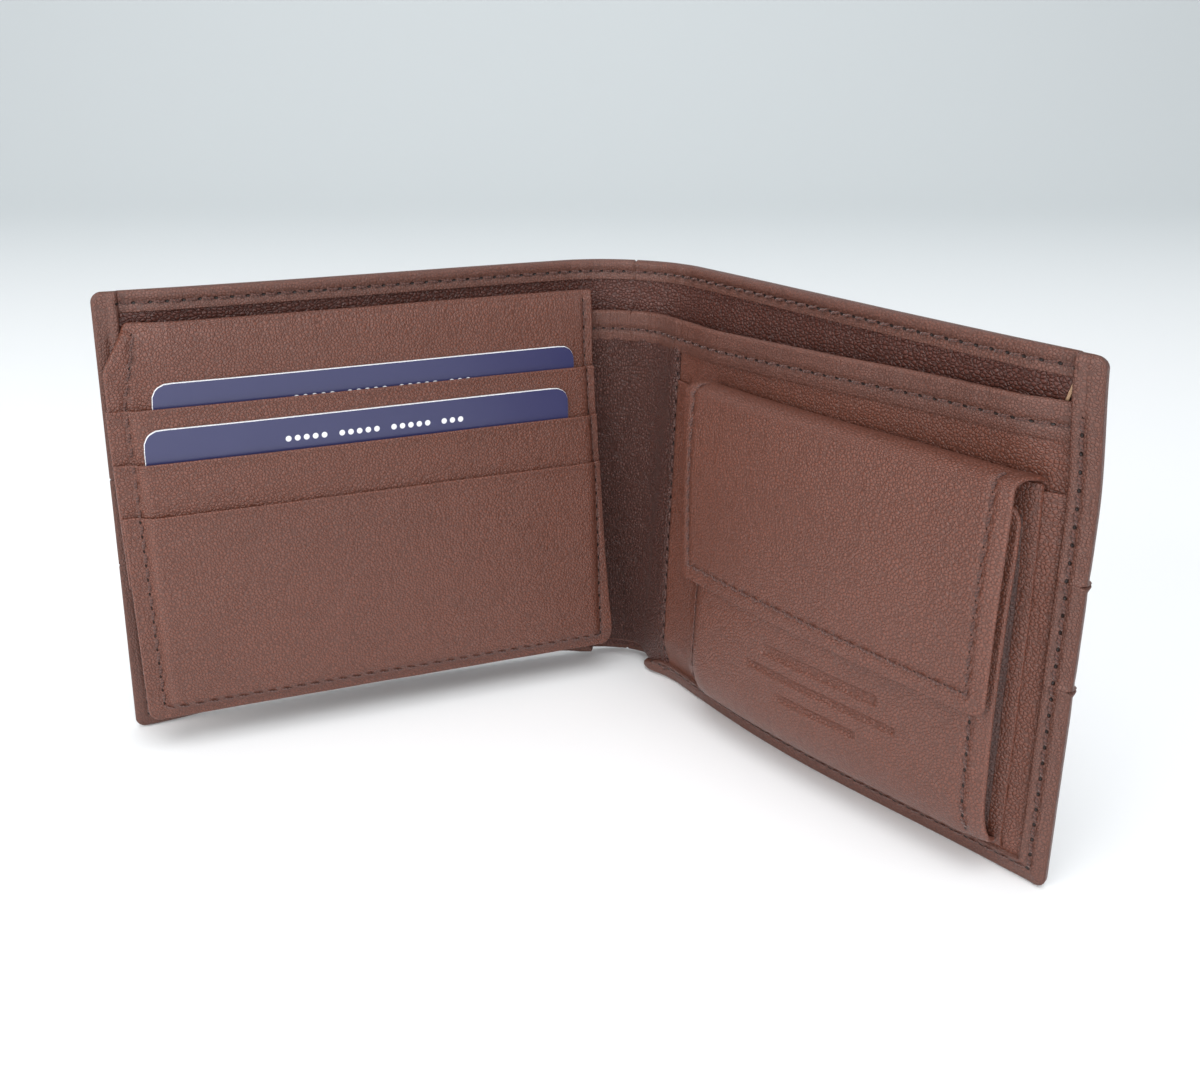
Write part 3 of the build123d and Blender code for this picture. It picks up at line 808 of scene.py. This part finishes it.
def pouch_front(s, z):
    foot = 5.2 * (1 - np.sqrt(np.clip(1 - (np.clip(15.5 - z, 0, 9.3) / 9.5) ** 2, 0, 1)))
    left = 2.4 * (1 - smooth(s, POUCH_S[0], POUCH_S[0] + 9)) ** 2
    right = 0.9 * (1 - smooth(POUCH_S[1] - s, 0, 6)) ** 2
    belly = 0.7 * hump((z - 8) / 50) * smooth(s, POUCH_S[0], POUCH_S[0] + 30)
    seam_dent = 0.25 * bell(s, POUCH_S[0] + POUCH_STITCH, 0.8)
    seam_dent = seam_dent + 0.3 * bell(s, POUCH_S[1] - POUCH_STITCH, 0.8)
    return 10.45 - foot - left - right + belly - seam_dent - emboss(s, z) + 0.08 * soft(s, z, 41)


def emboss(s, z):
    """Three plain bars pressed into the pouch front: a generic mark with no letters."""
    middle = (POUCH_S[0] + POUCH_S[1]) / 2 + 2
    total = 0.0
    for height, half, thick in ((25.6, 13.0, 0.9), (21.4, 17.0, 0.6), (17.2, 9.0, 0.6)):
        ends = smooth(np.abs(s - middle), half + 0.35, half - 0.35)
        total = total + ends * smooth(np.abs(z - height), thick + 0.35, thick - 0.25)
    return 0.5 * total


def pouch_paths():
    left, right, low = POUCH_S[0] + POUCH_STITCH, POUCH_S[1] - POUCH_STITCH, pouch_low[2] + 2
    return [(left, 62.0), (left, low)], [(right, 62.0), (right, low)]


def build_pouch():
    back = slab("coin_pouch_back", "coin",
                lines(POUCH_S[0] + 0.5, POUCH_S[1] - 0.5, 1.2), lines(5.0, FLAP_AXIS[1], 1.2),
                lambda s, z: pocket_front(s, z) + 0.6, lambda s, z: pocket_front(s, z) + 0.05,
                PANEL, SQUARE, 0.1)
    fit(back, "panel_leather", "coin_half", "coin_pouch_back")
    left, right = pouch_paths()
    marks = (25.6, 21.4, 17.2, 8.0)
    face = slab("coin_pouch_front", "coin", edge_lines(POUCH_S[0] + 0.45, POUCH_S[1] - 0.45, 0.6),
                lines(pouch_low[2] - 0.4, pouch_high[2] - 0.45, 0.7, marks, 1.8, 13), pouch_front,
                lambda s, z: pouch_front(s, z) - 0.95, PANEL, (2.0, 2.0, 3.0, 3.0), 0.45, [left, right])
    fit(face, "panel_leather", "pouch_front", "coin_pouch_front")
    for label, path in (("inner", left), ("outer", right)):
        row = stitches(f"thread_pouch_{label}", "coin", path, pouch_front, THREAD)
        fit(row, "thread", "pouch_front")
    for label, edge, turn in (("inner", POUCH_S[0] + 0.9, 1), ("outer", POUCH_S[1] - 0.9, -1)):
        build_gusset(label, edge, turn)


def build_gusset(label, edge, turn):
    """A pleated side wall of the pouch: its fold points into the pouch and closes towards the foot."""
    height = np.linspace(7.0, pouch_high[2] - 3, 40)
    across = np.linspace(0, 1, 25)
    u, z = np.meshgrid(across, height, indexing="ij")
    back_d, front_d = pocket_front(edge, z) + 0.55, pouch_front(edge + 0 * z, z) - 0.9
    d = back_d + (front_d - back_d) * u
    fold = 1 - np.abs(2 * u - 1)
    s = edge + turn * (1.4 + 3.4 * fold ** 1.15)
    faces_s = (s, s + turn * GUSSET_LEATHER)
    v = np.concatenate([np.stack([face_s, d, z], -1).reshape(-1, 3) for face_s in faces_s])
    _, faces = sheet_faces(*u.shape, 0)
    page = v[:, [1, 2, 0]] + 100
    seam = np.tile([0.0, NO_SEAM, 0.5], (len(v), 1))
    # Its leather is darkened as painted shade.
    piece = make_object(f"pouch_gusset_{label}", place("coin", *v.T), faces,
                        {"page": page, "seam": seam, "marks": np.zeros((len(v), 3))}, SHADED_GUSSET)
    fit(piece, "pebbled_leather", None, f"coin_pouch_gusset_{label}")
    tuple(place("coin", edge, 5.3, 40.0))
    tuple(place("coin", edge, 9.6, 40.0))
    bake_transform(piece)


def flap_sheet(u, s):
    """The coin flap's outer face: u runs from the back of its rolled top over it and down the front."""
    phi = np.clip(u / FLAP_ARC, 0, 1) * math.pi
    down = np.clip(u - FLAP_ARC, 0, None)
    lift = 0.06 * soft(s, u, 52, 22)
    ends = 0.5 * (1 - smooth(np.minimum(s - POUCH_S[0], POUCH_S[1] - s), 0, 3.5)) ** 2
    d = FLAP_AXIS[0] - (FLAP_RADIUS - ends * 0.5) * np.cos(phi)
    z = FLAP_AXIS[1] + (FLAP_CROWN - ends * 0.4) * np.sin(phi) - down
    pillow = 0.7 * hump(down / 38) * (1 - ends)
    swing = 0.035 * down * smooth(s, POUCH_S[0], POUCH_S[1]) - 0.008 * down
    return d + pillow + swing + lift * smooth(down, 0, 5), z


def flap_point(s, u, rise):
    """(d, z) of a point at a height above the flap's outer face."""
    d, z = flap_sheet(u, s)
    ahead_d, ahead_z = flap_sheet(u + 0.05, s)
    norm = np.hypot(ahead_d - d, ahead_z - z) + 1e-9
    return d - (ahead_z - z) / norm * rise, z + (ahead_d - d) / norm * rise


def flap_path():
    """Stitch line of the flap in (s, u)."""
    left, right, low = POUCH_S[0] + FLAP_STITCH, POUCH_S[1] - FLAP_STITCH, FLAP_FOOT - FLAP_STITCH
    return [(left, FLAP_ARC * 0.55), (left, low), (right, low), (right, FLAP_ARC * 0.55)]


def build_flap():
    """The flap and its rolled top are one sheet that bends at the roll."""
    S = edge_lines(POUCH_S[0] + 0.4, POUCH_S[1] - 0.4, 0.6)
    U = lines(0.0, FLAP_FOOT - 0.4, 0.6, (FLAP_FOOT,), 1.2, 9)
    s, u = round_corners(S, U, (0, 0, 2.0, 2.0))
    thick, edge, rings = 0.75, 0.4, 7
    loop, quads = sheet_faces(*s.shape, rings)
    ls, lu = s.ravel()[loop], u.ravel()[loop]
    ns, nu = rim_normals(ls, lu)
    path = flap_path()
    rows_s, rows_u = [s.ravel()] * 2, [u.ravel()] * 2
    rows_h = [np.zeros(s.size), np.full(s.size, thick)]
    # Share of painted highlight: none on the two faces, some on the rolled rim.
    rim_highlight = [np.zeros(2 * s.size)]
    for away, across in rim_rolls(rings):
        rows_s.append(ls + ns * edge * away)
        rows_u.append(np.clip(lu + nu * edge * away, 0, None))
        rows_h.append(thick / 2 - thick / 2 * across + 0 * ls)
        rim_highlight.append(np.full(ls.shape, 0.7))
    S_all, U_all, H_all = np.concatenate(rows_s), np.concatenate(rows_u), np.concatenate(rows_h)
    along, gap = near_path(S_all, U_all, path)
    groove = 0.16 * bell(gap, 0, 0.8)
    d, z = flap_point(S_all, U_all, -H_all - groove * (H_all < thick / 2))
    page = np.stack([S_all + 700, U_all, H_all], 1)
    seam = np.stack([along, gap, 0.12 * smooth(U_all, FLAP_ARC + 4, FLAP_ARC * 0.3)], 1)
    marks = np.stack([np.concatenate(rim_highlight), S_all, U_all], 1)
    flap = make_object("coin_flap", place("coin", S_all, d, z), quads,
                       {"page": page, "seam": seam, "marks": marks}, PANEL)
    fit(flap, "panel_leather", None, "coin_flap", "coin_flap_hinge")
    flap_blend(flap)
    lining = slab("coin_flap_lining", "coin", edge_lines(POUCH_S[0] + 0.6, POUCH_S[1] - 0.6, 1.0),
                  lines(flap_low[2] + 0.5, FLAP_AXIS[1] - 1, 1.0),
                  lambda s, z: flap_back(s, z) - 0.02, lambda s, z: flap_back(s, z) - FLAP_LINING,
                  PEBBLED_SPINE, (1.8, 1.8, 0, 0), 0.15)
    fit(lining, "pebbled_leather", "coin_flap", "coin_flap_lining")
    row = flap_stitches(path)
    fit(row, "thread", None, "flap_stitching")
    flap_blend(row)


def flap_back(s, z):
    return flap_sheet(FLAP_ARC + FLAP_AXIS[1] - z, s)[0] - 0.77


def roll_blend(piece, side, ends, depths, z):
    """Works out the line a rolled sheet's roll follows in plan and the direction square to it, but only
    bakes the sheet's transform; nothing is blended between bodies.
    """
    first, last = (place(side, s, depths[0], z) for s in ends)
    along = (last - first) / np.linalg.norm(last - first)
    inward = place(side, sum(ends) / 2, depths[1], z) - place(side, sum(ends) / 2, depths[0], z)
    inward = inward - along * (inward @ along)
    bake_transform(piece)


def flap_blend(piece):
    depths = (roll_low[1] + 0.4, roll_high[1] - 1.6)
    roll_blend(piece, "coin", POUCH_S, depths, FLAP_AXIS[1])


def flap_stitches(path):
    """Stitches on the flap, built flat in (s, u) and wrapped over it."""
    row = stitches("thread_flap", "flat", path, lambda s, u: 0.0 * s, THREAD)
    mesh = row.data
    co = np.zeros(len(mesh.vertices) * 3)
    mesh.vertices.foreach_get("co", co)
    s, lift, u = co.reshape(-1, 3).T / MM
    wrapped = place("coin", s, *flap_point(s, u, lift - 0.12))
    mesh.vertices.foreach_set("co", wrapped.astype(np.float32).ravel())
    return row


def lathe(name, side, centre, profile, material, segments=48):
    """A turned piece lying along d: profile is a closed list of (radius, d)."""
    verts, faces = [], []
    for k in range(segments):
        a = math.tau * k / segments
        for r, d in profile:
            verts.append((centre[0] + r * math.cos(a), d, centre[1] + r * math.sin(a)))
    n = len(profile)
    for k in range(segments):
        for i in range(n):
            a, b = k * n + i, k * n + (i + 1) % n
            c = ((k + 1) % segments) * n
            faces.append((a, b, c + (i + 1) % n, c + i))
    v = np.array(verts)
    level = lean(side, 0 * v[:, 0] + centre[0], 0 * v[:, 0] + centre[1]) - lean(side, v[:, 0], v[:, 2])
    return make_object(name, place(side, v[:, 0], v[:, 1] + level, v[:, 2]), faces, {"page": v}, material)


def build_snap():
    stud_low, stud_high = span("snap_stud")
    centre = ((stud_low[0] + stud_high[0]) / 2, (stud_low[2] + stud_high[2]) / 2)
    face = float(pouch_front(np.array(centre[0]), np.array(centre[1])))
    inner = float(flap_back(np.array(centre[0]), np.array(centre[1]))) - FLAP_LINING
    rim = (stud_high[0] - stud_low[0]) / 2
    stud = lathe("snap_stud", "coin", centre, [(r, face + d) for r, d in (
        (0.02, -1.2), (rim, -1.1), (rim, -0.97), (1.2, -0.9), (1.2, -0.02), (2.6, 0.0), (2.6, 0.1),
        (1.5, 0.14), (1.5, 0.25), (1.95, 0.34), (1.8, 0.5), (0.02, 0.55))], BRASS)
    fit(stud, "snap_brass", "pouch_front", "snap_stud")
    ring = lathe("snap_socket", "coin", centre, [(r, inner + d) for r, d in (
        (2.15, -0.02), (rim - 0.6, -0.06), (rim, 0.05), (rim - 0.1, 0.2), (2.15, 0.2))], BRASS)
    fit(ring, "snap_brass", "coin_flap", "snap_socket")


# ---------------------------------------------------------------- card wing
wing_low, wing_high = span("wing_top_panel")
hinge_low, hinge_high = span("wing_hinge")
WING_S = (wing_low[0] - 0.9, wing_high[0])
WING_Z = wing_low[2]
WING_NODES = ("wing_top_panel", "upper_slot_strip", "middle_slot_strip", "lower_slot_panel")
SLOTS = tuple(span(n)[1][2] for n in WING_NODES[1:])
FRONTS = tuple(span(n)[1][1] for n in WING_NODES)
WING_AXIS = ((hinge_low[1] + hinge_high[1]) / 2, hinge_high[2] - (hinge_high[1] - hinge_low[1]) / 2)
WING_RADIUS = (hinge_high[1] - hinge_low[1]) / 2
CHAMFER = (4.8, 8.0)
WING_STITCH = 3.1
FOOT_CORNERS = (2, 2, 0, 0)


def hang(s, z):
    """The wing hangs from its roll and swings away from the divider lower down."""
    return (4.4 + 1.0 * s / WIDTH) * (np.clip(WING_AXIS[1] + 0.8 - z, 0, None) / 77) ** 1.2


def wing_level(k):
    """Front face of wing layer k, pinched where the sides and foot are sewn and full over the cards."""
    pinched = (FRONTS[0] + 0.15, FRONTS[0] + 0.75, FRONTS[0] + 1.35, FRONTS[0] + 2.0)[k]

    def depth(s, z):
        rim = np.minimum(s - WING_S[0], WING_S[1] - s)
        full = 1 - (1 - smooth(rim, 2.2, 5.4)) * (1 - 0.55 * smooth(s, 40, 20))
        if k == 3:
            full = full * smooth(z - WING_Z, 1.2, 4.2)
        if k == 0:
            full = full * smooth(z, 86, 76) + 0.9 * hump((z - 73.6) / 9.5) / 0.7
        seam = 0.16 * bell(rim, WING_STITCH, 0.6)
        ripple = 0.07 * soft(s, z, 60 + k, 16) + 0.25 * soft(s * 0.5, z, 70, 26) * smooth(z, 62, 84)
        return pinched + (FRONTS[k] - pinched + 0.25) * full + hang(s, z) - seam + ripple

    return depth


def wing_path():
    left, right, low = WING_S[0] + WING_STITCH, WING_S[1] - WING_STITCH - 0.1, WING_Z + 3.0
    return [(left, 82.5), (left, low), (right, low), (right, 70.0), (right - 2.6, 82.5)]


def chamfered(s, z):
    """Pulls a panel's upper free corner in along the wing's cut-off corner."""
    top = WING_AXIS[1] + WING_RADIUS
    share = np.clip((z - (top - CHAMFER[1])) / CHAMFER[1], 0, 1)
    limit = WING_S[1] - CHAMFER[0] * share
    start = WING_S[1] - 25
    t = np.clip((s - start) / (WING_S[1] - start), 0, None)
    return np.where(s > start, start + t * (limit - start), s), z


def build_wing():
    path = [wing_path()]
    back = slab("wing_back", "wing",
                lines(WING_S[0] + 1.5, WING_S[1] - 0.6, 1.2), lines(WING_Z + 0.4, WING_AXIS[1] - 3, 1.2),
                lambda s, z: 5.2 + hang(s, z), lambda s, z: 4.8 + hang(s, z),
                PANEL, FOOT_CORNERS, 0.2, path, None, chamfered)
    fit(back, "panel_leather", "card_wing", "wing_back")
    build_wing_top(path)
    lows = (0, SLOTS[1] - 14, SLOTS[2] - 14, WING_Z)
    for k in (1, 2, 3):
        top = SLOTS[k - 1]
        level = wing_level(k)
        lip = lambda s, z, level=level, top=top: level(s, z) + 0.12 * smooth(top - z, 1.6, 0.2)
        reach = 0.35 if k < 3 else 0.0
        strip = slab(WING_NODES[k], "wing", edge_lines(WING_S[0] + 0.3, WING_S[1] - 0.3 + reach, 0.7),
                     lines(lows[k] + (0.5 if k == 3 else 0), top - 0.25, 0.7, (top,), 1.2, 9), lip,
                     lambda s, z, lip=lip: lip(s, z) - 0.52,
                     PANEL, FOOT_CORNERS if k == 3 else SQUARE, 0.28, path)
        fit(strip, "panel_leather", "card_wing", WING_NODES[k])
    levels = [wing_level(k) for k in range(4)]

    def visible(s, z):
        k = 3 - (z > SLOTS[2]) * 1 - (z > SLOTS[1]) * 1 - (z > SLOTS[0]) * 1
        return np.choose(k, [level(s, z) for level in levels])

    row = stitches("thread_wing", "wing", wing_path(),
                   lambda s, z: float(visible(np.array(s), np.array(z))), THREAD)
    fit(row, "thread", "card_wing", "wing_stitching")


def build_wing_top(path):
    """The wing's rearmost panel, whose leather rolls over the top and runs down to the divider's edge."""
    level = wing_level(0)
    slim = 0.62 * WING_RADIUS
    arc = math.pi * WING_RADIUS
    drop = WING_AXIS[1] - DIVIDER_TOP
    S = edge_lines(WING_S[0] + 0.3, WING_S[1] - 0.3, 0.7)
    U = lines(0.0, drop + arc + WING_AXIS[1] - 52.0, 0.7, (drop, drop + arc / 2, drop + arc), 1.8, 9)
    s, u = np.meshgrid(S, U, indexing="ij")
    phi = np.clip((u - drop) / arc, 0, 1) * math.pi
    down = np.clip(u - drop - arc, 0, None)
    z = np.where(u < drop, WING_AXIS[1] - (drop - u), WING_AXIS[1] + WING_RADIUS * np.sin(phi) - down)
    front = WING_AXIS[0] - WING_RADIUS + 2 * slim
    d = front - slim - slim * np.cos(phi)
    d = d + (level(s, z) - front) * np.sqrt(1 - (1 - np.clip(down / 10, 0, 1)) ** 2)
    s2, _ = chamfered(s, z)
    gd, gz = np.gradient(d, axis=1), np.gradient(z, axis=1)
    norm = np.hypot(gd, gz) + 1e-9
    thick = 0.6
    inner_d, inner_z = d + gz / norm * thick, z - gd / norm * thick
    ni, nj = s.shape
    loop, quads = sheet_faces(ni, nj, 1)
    outline = np.stack([a.ravel()[loop] for a in (s2, (d + inner_d) / 2, (z + inner_z) / 2)], 1)
    side = np.where(loop < nj, -1.0, np.where(loop >= (ni - 1) * nj, 1.0, 0.0))
    outline[:, 0] += side * 0.28
    v = np.concatenate([np.stack([s2, d, z], -1).reshape(-1, 3),
                        np.stack([s2, inner_d, inner_z], -1).reshape(-1, 3), outline])
    uu = np.concatenate([u.ravel(), u.ravel(), u.ravel()[loop]])
    along, gap = near_path(v[:, 0], v[:, 2], path[0])
    gap = np.where(uu < drop + arc * 0.4, NO_SEAM, gap)
    page = np.stack([v[:, 0] + 300, -uu, v[:, 1] * 0.2], 1)
    # Share of painted highlight: none on the two faces, some on the rolled rim.
    rim_highlight = np.concatenate([np.zeros(2 * s.size), np.full(len(loop), 0.7)])
    marks = np.stack([rim_highlight, v[:, 0], v[:, 2]], 1)
    seam = np.stack([along, gap, 0.3 * smooth(uu, drop + arc + 8, drop + arc)], 1)
    piece = make_object("wing_top_panel", place("wing", *v.T), quads,
                        {"page": page, "seam": seam, "marks": marks}, PANEL)
    fit(piece, "panel_leather", None, "wing_top_panel", "wing_hinge")
    back = WING_AXIS[0] - WING_RADIUS
    roll_blend(piece, "wing", WING_S, (back + 0.6, front - 0.6), WING_AXIS[1])


def build_card(name, dots_below_top):
    """A card, its edge showing the pale core, with its row of dots at a distance below its top."""
    low, high = span(name)
    S, Z = (edge_lines(low[axis] + 0.1, high[axis] - 0.1, 2.0, 0.5) for axis in (0, 2))
    tilt = lambda s, z: 0.65 * hang(s, z) + 0.35 * hang(s, high[2])
    card = slab(name, "insert", S, Z,
                lambda s, z: high[1] + 0.1 + tilt(s, z), lambda s, z: low[1] + 0.1 + tilt(s, z),
                CARD, (3.1, 3.1, 3.1, 3.1), 0.1, rings=3, rim_highlight_share=0.0)
    card.data.materials.append(CORE)
    rim = len(S) * len(Z) * 2
    for polygon in card.data.polygons:
        if max(polygon.vertices) >= rim:
            polygon.material_index = 1
    marks = card.data.attributes["marks"]
    values = np.zeros(len(card.data.vertices) * 3, np.float32)
    marks.data.foreach_get("vector", values)
    values = values.reshape(-1, 3)
    values[:, 1] = high[0] - values[:, 1]
    values[:, 2] = values[:, 2] - (high[2] - dots_below_top)
    marks.data.foreach_set("vector", values.ravel())
    fit(card, "card_plastic", name, name)


# ---------------------------------------------------------------- stage, lights and camera
def build_stage():
    """A pale floor that curves up into a backdrop; its colour is painted darker and bluish grey towards
    the back as shade.
    """
    view = math.radians(58.7)
    near, bend_start, bend_radius, top, half_width, sink, steps = -1.2, 0.9, 1.0, 3.2, 3.0, 0.0002, 24
    forward = np.array([-math.sin(view), math.cos(view)])
    right = np.array([forward[1], -forward[0]])
    profile = [(near, 0.0), (bend_start, 0.0)]
    for k in range(1, steps + 1):
        a = math.pi / 2 * k / steps
        profile.append((bend_start + bend_radius * math.sin(a), bend_radius * (1 - math.cos(a))))
    profile.append((bend_start + bend_radius, top))
    verts, faces = [], []
    for along, up in profile:
        for across in (-half_width, half_width):
            xy = forward * along + right * across
            verts.append((xy[0], xy[1], up - sink))
    for k in range(len(profile) - 1):
        faces.append((2 * k, 2 * k + 1, 2 * k + 3, 2 * k + 2))
    g = Graph("pale_stage")
    coords = g.tree.nodes.new("ShaderNodeTexCoord").outputs["Object"]
    far = g.plus(g.times(g.split(coords)[0], float(forward[0])),
                 g.times(g.split(coords)[1], float(forward[1])))
    paper = g.noise(coords, 900.0, 3.0)
    g.bump(g.times(paper, 0.02))
    # Painted shade: near white at the front, falling to bluish grey at the back, where less light
    # reaches.
    colour = g.mix(g.ramp(far, -0.05, 1.0), rgba(0.93, 0.935, 0.94), rgba(0.67, 0.705, 0.715))
    material = g.set(Base_Color=colour, Roughness=0.7, Specular_IOR_Level=0.2)
    mesh = bpy.data.meshes.new("stage")
    mesh.from_pydata(verts, [], faces)
    mesh.polygons.foreach_set("use_smooth", [True] * len(mesh.polygons))
    mesh.materials.append(material)
    floor = bpy.data.objects.new("stage", mesh)
    bpy.context.scene.collection.objects.link(floor)


def area_light(name, position, target, size, power, colour=(1, 1, 1)):
    light = bpy.data.lights.new(name, "AREA")
    light.shape, light.size, light.size_y = "RECTANGLE", size[0], size[1]
    light.energy, light.color = power, colour
    obj = bpy.data.objects.new(name, light)
    obj.location = position
    obj.rotation_euler = (Vector(target) - Vector(position)).to_track_quat("-Z", "Y").to_euler()
    bpy.context.scene.collection.objects.link(obj)


def build_lights():
    world = bpy.data.worlds.new("studio")
    world.use_nodes = True
    world.node_tree.nodes["Background"].inputs[0].default_value = (0.93, 0.96, 1.0, 1)
    world.node_tree.nodes["Background"].inputs[1].default_value = 0.34
    bpy.context.scene.world = world
    wallet = (0.02, -0.03, 0.04)
    area_light("left_box", (0.10, -0.80, 0.30), wallet, (0.6, 0.4), 3.6, (1.0, 0.985, 0.96))
    area_light("right_box", (0.85, -0.40, 0.28), wallet, (0.7, 0.5), 3.9, (0.97, 0.985, 1.0))
    area_light("top", (0.42, -0.30, 1.0), (0.03, -0.04, 0.04), (0.9, 0.9), 8.6, (0.97, 0.99, 1.0))
    area_light("backdrop_wash", (-0.5, 0.25, 1.5), (-1.7, 1.05, 0.5), (3.0, 1.4), 19.0, (0.98, 0.99, 1.0))


# The camera as fitted to the photo: its turn from +Y, its tilt below level, and its foot's place across
# and along its own view, from the wallet's corner.
CAMERA_YAW, CAMERA_PITCH = math.radians(58.715), math.radians(20.0)
CAMERA_ACROSS, CAMERA_ALONG, CAMERA_HEIGHT = -27.8, -273.9, 129.1
CAMERA_LENS, CAMERA_SHIFT = 38.42, (0.0717, -0.0167)


def build_camera():
    """The camera looks down by 20 degrees into the open wallet."""
    c, s = math.cos(CAMERA_YAW), math.sin(CAMERA_YAW)
    x, y = CAMERA_ACROSS * c - CAMERA_ALONG * s, CAMERA_ACROSS * s + CAMERA_ALONG * c
    camera = bpy.data.cameras.new("camera")
    camera.lens, camera.sensor_width = CAMERA_LENS, 36.0
    camera.shift_x, camera.shift_y = CAMERA_SHIFT
    camera.clip_start = 0.01
    obj = bpy.data.objects.new("camera", camera)
    obj.location = ((x + CORNER[0]) * MM, (y + CORNER[1]) * MM, CAMERA_HEIGHT * MM)
    level = math.cos(CAMERA_PITCH)
    look = Vector((-s * level, c * level, -math.sin(CAMERA_PITCH)))
    obj.rotation_euler = look.to_track_quat("-Z", "Y").to_euler()
    bpy.context.scene.collection.objects.link(obj)
    bpy.context.scene.camera = obj


for half in ("coin", "card"):
    build_cover(half)
    build_linings(half)
    build_divider(half)
build_raw_edge()
build_slip_pocket()
build_pouch()
build_flap()
build_snap()
build_wing()
build_card("upper_card", 5.0)
build_card("lower_card", 4.2)
for half in ("coin", "card"):
    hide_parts(f"cover_bend_{half}_side")
    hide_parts(f"hem_stitching_{half}_side")
build_stage()
build_lights()
build_camera()
bpy.context.scene.view_settings.view_transform = "Standard"
